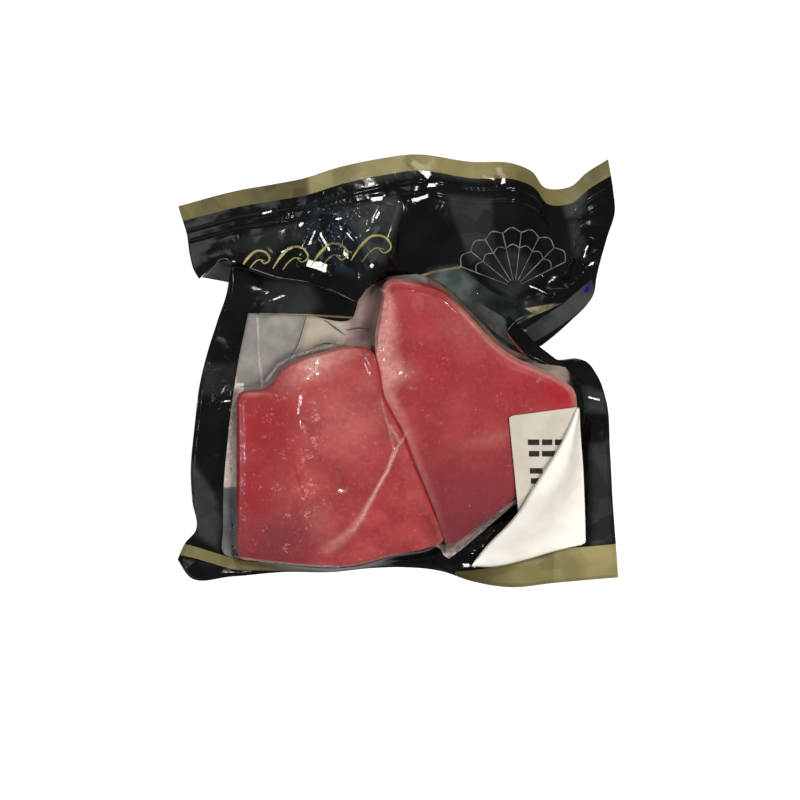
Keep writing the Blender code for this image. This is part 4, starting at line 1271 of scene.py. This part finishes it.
HEADER_GLINTS = [
    (-41.0, 52.6, 7.6, 3.0, -16, TOP_LAMP), (-37.4, 65.0, 8.0, 1.7, -60, TOP_LAMP),
    (-43.5, 66.5, 6.0, 1.4, 62, TOP_LAMP), (-11.0, 86.0, 4.0, 2.0, 6, TOP_LAMP),
    (11.0, 101.0, 8.0, 2.6, -42, TOP_LAMP), (51.0, 97.5, 6.0, 2.4, -75, TOP_LAMP),
    (11.0, 86.5, 5.4, 1.7, 16, TOP_LAMP), (16.5, 93.0, 3.4, 1.8, 0, TOP_LAMP),
    (-13.5, 52.5, 2.4, 1.4, 40, TOP_LAMP), (-10.5, 78.0, 2.6, 1.2, 60, TOP_LAMP),
    (85.0, 76.5, 6.4, 1.3, 6, TOP_LAMP), (86.0, 69.5, 5.2, 1.2, 4, TOP_LAMP),
    (93.5, 60.0, 5.6, 1.1, 70, TOP_LAMP), (96.0, 53.5, 3.6, 1.2, 35, TOP_LAMP),
    (-56.0, 60.5, 5.0, 1.1, 20, TOP_LAMP), (-26.5, 58.0, 3.6, 1.1, -62, TOP_LAMP),
    (-24.0, 66.5, 4.0, 1.1, -50, TOP_LAMP), (0.5, 60.0, 6.0, 1.0, 80, SIDE_LAMP),
    (45.0, 96.5, 4.6, 1.2, -8, TOP_LAMP), (-49.0, 73.5, 2.4, 1.2, 30, TOP_LAMP),
    (70.0, 41.0, 7.0, 1.0, -24, TOP_LAMP), (82.0, 52.0, 6.0, 1.0, 35, TOP_LAMP),
    (-30.0, 76.0, 3.0, 1.0, 10, TOP_LAMP), (-66.0, 79.5, 4.0, 1.0, 12, TOP_LAMP),
]
HEADER_PLACE = patch(HEADER_BOTTOM, HEADER_TOP, HEADER_LEFT, HEADER_RIGHT)


def header_below(u, v):
    """How far a place is below the header's top edge."""
    tall = np.linalg.norm(along(smooth(HEADER_TOP), u) - along(smooth(HEADER_BOTTOM), u), axis=-1)
    return (1 - v) * tall


def header_surface(u, v):
    p = HEADER_PLACE(u, v)
    x, y = p[..., 0], p[..., 1]
    inner = np.sin(np.pi * np.clip(v, 0, 1)) ** 0.7 * np.sin(np.pi * np.clip(u, 0, 1)) ** 0.4
    below = header_below(u, v)
    free = inner * step(8.0, 24.0, below)
    p[..., 2] += inner * sum(ridge(x, y, *fold) for fold in SOFT_FOLDS)
    p[..., 2] += inner * sum(tent(x, y, *fold) for fold in SHARP_FOLDS)
    p[..., 2] += free * facets(x, y, 4, (20, 36), 0.7, 8)
    share = 0.25 * inner + 0.75 * free
    p[..., 2] += share * creases(x, y, 70, WHOLE_HEADER, (6, 26), (1.4, 4), 0.5, 11)
    for box, count, height, seed in zip(HEADER_CRUSHED, (36, 30, 24), (1.0, 0.7, 0.35), (13, 14, 15)):
        p[..., 2] += inner * creases(x, y, count, box, (4, 18), (0.9, 2.4), height, seed)
    for start, end, count in RUFFLES:
        for t in np.linspace(0, 1, count):
            at = np.array(start) + (np.array(end) - start) * t
            p[..., 2] += tent(x, y, at - (0.5, 2.2), at + (0.5, 2.2), 0.6, 0.8)
    for rib in ZIP_RIBS:
        p[..., 2] += ZIP_RIB_HEIGHT * np.clip(1.4 - np.abs(below - rib) / (ZIP_RIB_WIDTH / 2), 0, 1)
    p[..., 2] = bend_to(x, y, p[..., 2], HEADER_GLINTS)
    p[..., 2] = np.maximum(p[..., 2], LOWEST_SEAL) + FILM
    return p


# %% Header
# Painted shade and reflections where the window is folded against the dark inside.
SHADED_WINDOW_AREA = [
    (8.5, 47.0), (16.0, 48.0), (31.0, 51.5), (46.0, 40.0), (55.0, 36.0), (66.0, 35.0), (74.0, 32.0),
    (60.0, 24.5), (54.0, 19.0), (55.0, 8.0), (40.0, 20.0), (20.0, 40.0),
]
WINDOW_SHEEN_AREA = [(15.0, 50.0), (29.0, 52.0), (38.0, 44.0), (36.0, 35.0), (28.0, 33.0), (18.0, 42.0)]
WINDOW_DEEP_SHADE_AREA = [(42.0, 36.0), (56.0, 38.0), (72.0, 34.0), (62.0, 25.0), (54.0, 18.0), (55.0, 6.0), (44.0, 18.0)]
SHADED_WINDOW_EDGE = [(10.5, 47.5), (17.0, 49.5), (30.5, 52.0)]
TURNED_AREA = [
    (96.5, 46.0), (98.5, 39.0), (93.5, 31.5), (80.0, 22.0),
    (66.0, 13.5), (59.0, 17.5), (66.0, 23.0), (82.0, 33.5),
]
CREAM_PATCHES = [
    [(63.0, 31.5), (79.0, 34.0), (68.0, 28.5)], [(56.5, 22.5), (64.5, 20.5), (57.5, 17.5)],
    [(73.5, 33.2), (81.5, 34.0), (60.0, 24.5), (53.0, 19.0)],
]
VIOLET_SPOT = (94.0, 41.0)
VIOLET_RADIUS = 1.7
# Painted shade and light on the header's gold, from place to place.
HEADER_GOLD_SHADING = [
    (-111.0, 0.16), (-85.0, 0.2), (-70.0, 0.1), (-46.5, 0.04), (-44.0, 0.7), (-30.0, 0.6), (-10.0, 0.62),
    (10.0, 0.85), (30.0, 0.6), (50.0, 0.65), (60.0, 0.35), (75.0, 0.45), (90.0, 0.5),
    (95.0, 0.3), (106.0, 0.5),
]
# Painted grey reflections on the black where folds face the light.
HEADER_SHEEN = [
    ([(-32, 79), (-2, 88), (1.5, 83), (-7, 54), (-14, 54), (-24, 72)], 0.8),
    ([(-58, 92), (-20, 101), (0, 104), (20, 102), (52, 99), (62, 96), (40, 95), (10, 98), (-20, 94)], 0.5),
    ([(24, 88), (46, 86), (48, 60), (36, 54), (30, 70)], 0.4),
    ([(80, 90), (94, 92), (92, 78), (84, 77)], 0.9),
    ([(85, 76), (92, 76), (94, 56), (88, 58)], 0.35),
    ([(-90, 62), (-68, 70), (-44, 76), (-40, 70), (-66, 58)], 0.3),
    ([(40, 56), (60, 62), (70, 48), (58, 36), (46, 44)], 0.35),
]
NAVY_AREA = [(-48, 84), (-30, 86), (-14, 62), (-16, 46), (-34, 50), (-46, 60)]

header, u, v = grid("pouch_header", header_surface, 330, 140)
x, y, z = places(header)
gold_line = 0.6 - from_path(x, y, SHADED_WINDOW_EDGE)
keep(header, "gold", np.maximum(GOLD_BAND - header_below(u, v), gold_line))
plane = planes(x, y, 8.0, 32)
keep(header, "gold_shading", np.interp(x, *np.array(HEADER_GOLD_SHADING).T) + 0.24 * (plane - 0.5))
keep(header, "painted_sheen", soft_areas(x, y, HEADER_SHEEN, 2.0) * (0.4 + 0.6 * plane) + 0.02 * plane)
keep(header, "navy", 0.8 * soft_areas(x, y, [(NAVY_AREA, 1.0)], 3.0) * planes(x, y, 5.0, 33))
for name, area in (
    ("shaded_window", SHADED_WINDOW_AREA), ("window_sheen", WINDOW_SHEEN_AREA), ("window_deep_shade", WINDOW_DEEP_SHADE_AREA), ("turned", TURNED_AREA),
):
    keep(header, name, inside(x, y, area, 0))
keep(header, "cream", np.max([inside(x, y, area, 0) for area in CREAM_PATCHES], axis=0))
keep(header, "violet", VIOLET_RADIUS - np.hypot(x - VIOLET_SPOT[0], y - VIOLET_SPOT[1]))
thicken(header, LAMINATE)
place_on_pack(header, header_laminate())

# %% [markdown]
# ## The turned-in film
#
# Behind the header's lower edge the laminate turns back towards the body, and at the left its corner is
# folded over. Both are short straight-sided sheets, so two edges and a sag are enough to make them.

# %% Return and corner
RETURN_FRONT = [
    (-86.0, 52.5, 11.2), (-73.5, 50.0, 13.2), (-65.5, 46.7, 13.7), (-42.0, 42.9, 15.2),
    (-31.0, 38.6, 15.7), (-22.0, 34.6, 16.1), (-16.0, 42.0, 14.4), (-6.0, 49.0, 9.6),
]
RETURN_BACK = [
    (-84.0, 53.5, 3.6), (-73.0, 56.0, 3.6), (-62.0, 56.5, 3.6), (-48.5, 57.5, 3.6),
    (-38.0, 57.0, 3.6), (-28.0, 56.5, 3.6), (-18.0, 55.5, 3.6), (-8.5, 54.5, 3.6),
]
CORNER_FOLD = [(-98.5, 46.8, 9.0), (-85.5, 44.5, 4.2), (-83.0, 57.0, 4.4), (-89.0, 57.5, 9.8)]


def return_surface(u, v):
    front_edge, back_edge = along(smooth(RETURN_FRONT), u), along(smooth(RETURN_BACK), u)
    p = front_edge + (back_edge - front_edge) * v[..., None]
    p[..., 2] += FILM * 0.6 - 2.4 * np.sin(np.pi * v)
    return p


def corner_surface(u, v):
    a, b, c, d = (np.array(p) for p in CORNER_FOLD)
    u, v = u[..., None], v[..., None]
    p = (1 - v) * ((1 - u) * a + u * b) + v * ((1 - u) * d + u * c)
    p[..., 2] += FILM
    return p


grey_film = coated("grey unprinted side of the laminate", "#2b2b2a", "#3e3e3d", 12.0, 0.3)
for name, surface, material in (
    ("header_return", return_surface, laminate),
    ("folded_corner", corner_surface, grey_film),
):
    sheet, u, v = grid(name, surface, 40, 20)
    # An even painted grey reflection on the turned-in film.
    keep_plain_black(sheet, 0.15)
    thicken(sheet, LAMINATE)
    place_on_pack(sheet, material)

# %% [markdown]
# ## The label
#
# The label is stuck on the film at its left and thrown into one diagonal pleat, so its right part lies over
# its left part as a flap. The left part is a flat sheet with rounded corners. The flap is a patch between
# the pleat's ridge and its free edges, with a rolled edge along the pleat.

# %% Label sizes
LABEL_THICK = 0.25
LABEL_CURL = 1.3
CURL_SHARE = 0.2
FLAP_ROLL = (7.6, 12.0)   # the flap rises this far from the pleat's ridge, and over this width
PLEAT_RIDGE = [
    (36.5, -97.6), (41.0, -91.5), (46.5, -85.0), (53.0, -78.5), (58.5, -72.0),
    (65.5, -60.5), (72.5, -49.5), (78.5, -40.0), (84.5, -28.5), (88.6, -18.5),
]
FLAP_RIGHT = [(93.6, -86.6, 6.0), (92.8, -64.0, 8.0), (91.8, -47.0, 11.5), (90.2, -30.0, 17.5)]
FLAP_BOTTOM = [(47.0, -98.0, 7.0), (63.0, -94.6, 6.2), (80.0, -89.6, 5.8)]
LABEL_LEFT_EDGE = [(59.5, -73.0), (54.5, -22.5)]
LABEL_UNDER_FLAP = [(59.6, -73.0), (67.0, -61.0), (74.2, -50.0), (80.2, -40.5), (86.0, -29.5), (88.5, -18.0)]
LABEL_CORNER = 1.8    # radius of the label's cut corners


# %% Label surfaces
def label_flat(u, v):
    left, right = smooth(LABEL_LEFT_EDGE), smooth(LABEL_UNDER_FLAP)
    p = along(left, v) + (along(right, v) - along(left, v)) * u[..., None]
    corner = (np.array(LABEL_LEFT_EDGE[1]) + np.array([LABEL_CORNER, -LABEL_CORNER]))
    out = p - corner
    reach = np.maximum(np.hypot(np.minimum(out[..., 0], 0), np.maximum(out[..., 1], 0)), 1e-6)
    in_corner = (out[..., 0] < 0) & (out[..., 1] > 0) & (reach > LABEL_CORNER)
    p = np.where(in_corner[..., None], corner + out * (LABEL_CORNER / reach)[..., None], p)
    return np.concatenate([p, label_base(p[..., 0], p[..., 1])[..., None] + 0.1], axis=-1)


def curl_radius(v):
    return LABEL_CURL * np.interp(v, [0.0, 0.25, 0.8, 1.0], [0.7, 1.0, 0.6, 0.2])


def label_flap(u, v):
    line = smooth(PLEAT_RIDGE)
    share = np.linspace(0.0, 1.0, len(line))
    height = label_base(line[:, 0], line[:, 1]) + 0.35 + 2 * curl_radius(share)
    ridge_line = np.concatenate([line, height[:, None]], axis=1)
    apex, foot = tuple(ridge_line[-1]), tuple(ridge_line[0])
    ends = [tuple(apex + np.array([0.3 * i, 0.0, -0.15 * i])) for i in range(4)]
    right = FLAP_RIGHT + [ends[-1]]
    bottom = [foot] + FLAP_BOTTOM + [FLAP_RIGHT[0]]
    share_right = np.clip((u - CURL_SHARE) / (1 - CURL_SHARE), 0.0, 1.0)
    p = patch(bottom, ends, ridge_line[::24].tolist() + [apex], right)(share_right, v)
    high, wide = FLAP_ROLL
    crest = np.clip(wide / np.interp(v, [0.0, 0.5, 1.0], [50.0, 27.0, 4.0]), 0.0, 0.55)
    rising = np.sqrt(1 - (1 - np.clip(share_right / crest, 0, 1)) ** 2)
    falling = np.cos(0.5 * np.pi * np.clip((share_right - crest) / (1 - crest), 0, 1)) ** 2
    p[..., 2] += high * rising * falling * np.sin(np.pi * np.clip(v, 0, 1)) ** 0.6
    turn = np.pi * (1.0 - np.clip(u / CURL_SHARE, 0.0, 1.0))
    small = curl_radius(v)
    curled = along(ridge_line, v)
    tuck = -0.5 * np.sin(turn) + 0.9 * (1 - np.cos(turn))
    curled[..., :2] += (small * tuck)[..., None] * np.array([0.86, -0.51])
    curled[..., 2] -= small * (1 - np.cos(turn))
    corner = np.array(FLAP_RIGHT[0][:2]) + np.array([-LABEL_CORNER, LABEL_CORNER])
    out = p[..., :2] - corner
    reach = np.maximum(np.hypot(np.maximum(out[..., 0], 0), np.minimum(out[..., 1], 0)), 1e-6)
    in_corner = (out[..., 0] > 0) & (out[..., 1] < 0) & (reach > LABEL_CORNER)
    p[..., :2] = np.where(in_corner[..., None], corner + out * (LABEL_CORNER / reach)[..., None], p[..., :2])
    return np.where((u < CURL_SHARE)[..., None], curled, p)


# %% Label pieces
# Lit and shaded copies of one paper: the flat part is painted darker as shade, the flap brighter as lit.
paper_in_shade = coated("matt coated label paper, painted darker as shade", "#b3ab9e", "#bbb4a7", 9.0, 0.5, 0.05)
paper_in_light = coated("white label paper, painted brighter as lit", "#dedad0", "#e6e3da", 9.0, 0.55, 0.05)
flat_part, u, v = grid("label_left_part", label_flat, 80, 80)
thicken(flat_part, LABEL_THICK, 1.0)
place_on_pack(flat_part, paper_in_shade)
pleat, u, v = grid("label_pleat", label_flap, 150, 90)
thicken(pleat, LABEL_THICK, 1.0)
place_on_pack(pleat, paper_in_light, "label")

# %% [markdown]
# ## Print laid on the surfaces
#
# Ink lines narrower than a mesh face can't be kept on vertices, so each line is a thin ribbon of its own,
# laid on the piece below it. Rays are cast down from above to find the height of that piece under every
# point of the ribbon. The motifs are generic: rolling waves and a scallop shell.

# %% Ribbons
INK_LIFT = 0.12       # the ribbons lie this far above the surface


def drape_tree(*objs):
    """A tree of the faces of some pieces, for casting rays at them."""
    bm = bmesh.new()
    graph = bpy.context.evaluated_depsgraph_get()
    for obj in objs:
        mesh = bpy.data.meshes.new_from_object(obj.evaluated_get(graph))
        bm.from_mesh(mesh)
        bpy.data.meshes.remove(mesh)
    tree = BVHTree.FromBMesh(bm)
    bm.free()
    return tree


def lay_ribbon(bm, target, path, widths, cells=3):
    """Adds a ribbon along a path to a mesh, on the faces of target. widths run from its start to its end."""
    line = smooth(path, 60)
    length = np.linalg.norm(np.diff(line, axis=0), axis=1).sum()
    line = along(line, np.linspace(0, 1, max(int(length / 0.5), 4)))
    way = np.gradient(line, axis=0)
    side = np.stack([-way[:, 1], way[:, 0]], axis=1) / np.linalg.norm(way, axis=1)[:, None]
    half = np.interp(np.linspace(0, 1, len(line)), np.linspace(0, 1, len(widths)), widths) / 2
    rows = []
    for place, across, reach in zip(line, side, half):
        row = []
        for share in np.linspace(-1, 1, cells + 1):
            x, y = place + across * reach * share
            hit = target.ray_cast(Vector((x * MM, y * MM, 1.0)), Vector((0, 0, -1)))[0]
            if hit is not None:
                row.append(bm.verts.new((hit.x, hit.y, hit.z + INK_LIFT * MM)))
        rows.append(row if len(row) == cells + 1 else None)
    for first, second in zip(rows[:-1], rows[1:]):
        if first and second:
            for i in range(cells):
                bm.faces.new((first[i + 1], first[i], second[i], second[i + 1]))


def print_piece(name, target, strokes, material):
    """One piece made of ribbons. A stroke is a path and its widths."""
    bm = bmesh.new()
    for path, widths in strokes:
        lay_ribbon(bm, target, path, widths)
    loose = [vert for vert in bm.verts if not vert.link_faces]
    bmesh.ops.delete(bm, geom=loose, context="VERTS")
    place_on_pack(linked(name, bm), material)


# %% Rolling waves
WAVE_CREST = [(0, 0), (4, 6), (9, 10), (14, 9), (16, 5), (13, 3), (11, 5)]   # one breaking wave
WAVE_PLACES = [((-79, 51), 0.9), ((-63, 51), 1.1), ((-44, 52), 1.15), ((-24, 55), 1.25)]
header_faces = drape_tree(header)


def wave_strokes():
    strokes = []
    for (ox, oy), size in WAVE_PLACES:
        strokes.append(([(ox + size * x, oy + size * y) for x, y in WAVE_CREST], [0.4, 1.4, 1.0, 0.9, 0.4]))
        inner = [(ox + size * (x * 0.62 + 4.5), oy + size * (y * 0.55 - 0.5)) for x, y in WAVE_CREST[:4]]
        strokes.append((inner, [0.3, 0.8, 0.3]))
    return strokes


gold_ink = coated("pale gold ink", "#5e5a32", "#a59d5c", 14.0, 0.35)
print_piece("wave_print", header_faces, wave_strokes(), gold_ink)

# %% Scallop shell
SHELL_FOOT = (58.0, 42.0)
SHELL_REACH = 29.0
SHELL_FAN = (math.radians(28), math.radians(158))
SHELL_RIBS = 8


def shell_strokes():
    """A fan of ribs between scalloped arcs."""
    strokes = []
    angles = np.linspace(*SHELL_FAN, SHELL_RIBS)

    def at(angle, reach):
        return (SHELL_FOOT[0] + reach * math.cos(angle), SHELL_FOOT[1] + reach * 0.95 * math.sin(angle))

    for angle in angles:
        strokes.append(([at(angle, r) for r in (4, 12, SHELL_REACH)], [0.3, 0.55]))
    for reach in (SHELL_REACH, SHELL_REACH * 0.72):
        for a, b in zip(angles[:-1], angles[1:]):
            strokes.append(([at(a, reach), at((a + b) / 2, reach * 1.08), at(b, reach)], [0.5, 0.5]))
    return strokes


pale_ink = coated("thin pale ink", "#47473f", "#70706a", 4.0, 0.35)
print_piece("shell_print", header_faces, shell_strokes(), pale_ink)

# %% [markdown]
# ## Edge highlights and dark lines
#
# A cut edge of laminate catches the light as a thin grey line, which is painted here as a highlight, and
# one edge beside the fish is stained reddish. Thin dark lines run across the lining. They could be kept on
# the film's vertices, but most are narrower than one of its mesh faces, so these are ribbons as well, laid on
# the film.

# %% Edge highlights and lines under the window
FOLD_EDGES = [
    (
        [(-84.5, 54.6), (-73.0, 50.9), (-60.0, 46.6), (-44.0, 43.9), (-33.0, 40.0), (-22.5, 34.9)],
        [0.3, 0.5, 0.4],
    ),
    ([(-97.5, 46.9), (-92.5, 52.0), (-88.5, 56.0), (-85.5, 55.6), (-84.6, 53.0)], [0.3, 0.5, 0.3]),
    ([(80.0, 33.4), (72.0, 29.8), (58.5, 25.0), (54.5, 20.5)], [0.3, 0.45, 0.3]),
]
STAINED_EDGE = [([(53.0, 20.5), (60.0, 11.5), (67.0, 3.8)], [0.5, 0.9, 0.5])]
WINDOW_LINES = [
    ([(-46.5, 27.5), (-51.0, 13.0), (-56.5, 3.5)], [0.4, 0.5, 0.3]),
    ([(-37.0, 25.5), (-31.0, 21.0), (-27.0, 18.0)], [0.3, 0.7, 0.3]),
    ([(-26.5, 20.5), (-20.0, 21.5), (-14.5, 21.0)], [0.3, 0.6, 0.3]),
    ([(-43.0, 12.0), (-36.0, 14.0), (-29.0, 12.5)], [0.3, 0.5, 0.3]),
]
edge_highlight_grey = coated("painted highlight on the laminate's cut edges", "#3d403e", "#747a77", 5.0, 0.35)
line_grey = coated("thin dark line on the lining", "#26282a", "#45484a", 5.0, 0.4)
print_piece("fold_edge_highlights", drape_tree(header, sheet, front), FOLD_EDGES, edge_highlight_grey)
print_piece("window_lines", drape_tree(front), WINDOW_LINES, line_grey)
stain = coated("film edge stained by the fish", "#5a2622", "#8a4f45", 5.0, 0.35)
print_piece("stained_edge", drape_tree(header, front), STAINED_EDGE, stain)

# %% [markdown]
# ## Bars on the label
#
# The label's print is made as rows of plain dark bars of uneven length. They could be a pattern in the
# paper's material, but ribbons keep their ends sharp. Each row runs under the flap, so a bar is left out
# where the flap hides its middle.

# %% Bars on the label
BAR_ROWS = [   # middle and height of each
    (-35.5, 2.8), (-41.2, 2.8), (-49.7, 2.8), (-54.7, 2.8), (-59.0, 1.8),
]
BAR_START = 64.0
BAR_END = 88.0


def bar_strokes():
    """Rows of short bars of different lengths, which run under the flap."""
    draw = np.random.default_rng(21)
    strokes = []
    for row, (y, tall) in enumerate(BAR_ROWS):
        x = BAR_START + 0.5 * row
        while x < BAR_END:
            end = x + draw.uniform(3.0, 6.5)
            strokes.append(([(x, y), ((x + end) / 2, y), (end, y)], [tall, tall]))
            x = end + 1.3
    return strokes


def under_flap(path):
    """True where a bar's middle is hidden by the flap."""
    ridge_x = np.interp(path[1][1], [p[1] for p in PLEAT_RIDGE], [p[0] for p in PLEAT_RIDGE])
    return path[1][0] > ridge_x + 1.0


label_faces = drape_tree(flat_part)
bars = [stroke for stroke in bar_strokes() if not under_flap(stroke[0])]
label_ink = coated("black label ink", "#161514", "#2a2826", 3.0, 0.5)
print_piece("label_bars", label_faces, bars, label_ink)

# %% [markdown]
# ## Floor, light and camera
#
# The pack lies on a pale floor and is seen from straight above. A film shows only what it reflects, so the
# light decides how it looks. The key light and the fill are kept out of reflections, as a photographer does
# with a polariser. One soft panel gives grey sheens on the folds, and two small lamps give white sparks on
# the creases and on the facets that were bent to face them. The floor glows white for the camera alone, so
# that it stays an even pale ground without lighting the pack from below.

# %% Floor and sky
floor_bm = bmesh.new()
bmesh.ops.create_grid(floor_bm, x_segments=1, y_segments=1, size=3.0)
floor = linked("floor", floor_bm)
floor_paint, tree = new_material("pale paper sweep")
seen = add(tree, "LightPath", out="Is Camera Ray")
glow = add(tree, "Emission", {"Color": (1, 1, 1, 1), "Strength": 0.86})
matt = add(tree, "BsdfDiffuse", {"Color": (0.35, 0.35, 0.35, 1)})
lit = add(tree, "AddShader", {0: glow, 1: matt})
add(tree, "OutputMaterial", {"Surface": add(tree, "MixShader", {0: seen, 1: matt, 2: lit})})
floor.data.materials.append(floor_paint)

world = bpy.data.worlds.new("soft studio")
world.use_nodes = True
bpy.context.scene.world = world
tree = world.node_tree
tree.nodes.clear()
sky = add(tree, "Background", {"Color": (0.55, 0.58, 0.6, 1), "Strength": 0.19})
pale = add(tree, "Background", {"Color": (0.95, 0.95, 0.95, 1), "Strength": 1.0})
seen = add(tree, "LightPath", out="Is Camera Ray")
add(tree, "OutputWorld", {"Surface": add(tree, "MixShader", {0: seen, 1: sky, 2: pale})})


# %% Lights
def softbox(name, place, size, power, colour=(1, 1, 1), shown=True):
    """An area light that points at the pack. One that isn't shown lights without a reflection."""
    light = bpy.data.lights.new(name, "AREA")
    light.shape = "RECTANGLE"
    light.size, light.size_y = size
    light.energy = power
    light.color = colour
    obj = bpy.data.objects.new(name, light)
    obj.location = place
    obj.rotation_euler = (-obj.location).to_track_quat("-Z", "Y").to_euler()
    obj.visible_glossy = shown
    bpy.context.scene.collection.objects.link(obj)


def metres(lamp):
    return tuple(c * MM for c in lamp)


softbox("key_right", (0.7, -0.2, 1.35), (0.5, 0.5), 21, (1.0, 0.97, 0.92), shown=False)
softbox("fill_left", (-0.9, 0.1, 1.4), (0.7, 0.7), 9, (0.95, 0.97, 1.0), shown=False)
softbox("sheen_panel", (-0.75, 0.95, 1.45), (0.5, 0.45), 0.95, (0.92, 0.97, 1.0))
softbox("top_lamp", metres(TOP_LAMP), (0.2, 0.2), 6.0, (1.0, 0.98, 0.93))
softbox("side_lamp", metres(SIDE_LAMP), (0.2, 0.2), 2.0, (0.9, 0.84, 1.0))

# %% Camera
CAMERA_HEIGHT = 2.0
FRAME_WIDTH = 0.4         # the photograph's 800 pixels at 0.5 mm each
FRAME_MIDDLE = (0.0005, -0.0145)
camera_data = bpy.data.cameras.new("camera")
camera_data.sensor_width = 36.0
camera_data.lens = 36.0 * CAMERA_HEIGHT / FRAME_WIDTH
camera_data.clip_end = 20.0
camera = bpy.data.objects.new("camera", camera_data)
camera.location = (*FRAME_MIDDLE, CAMERA_HEIGHT + 0.01)
bpy.context.scene.collection.objects.link(camera)
bpy.context.scene.camera = camera
bpy.context.scene.view_settings.view_transform = "Standard"
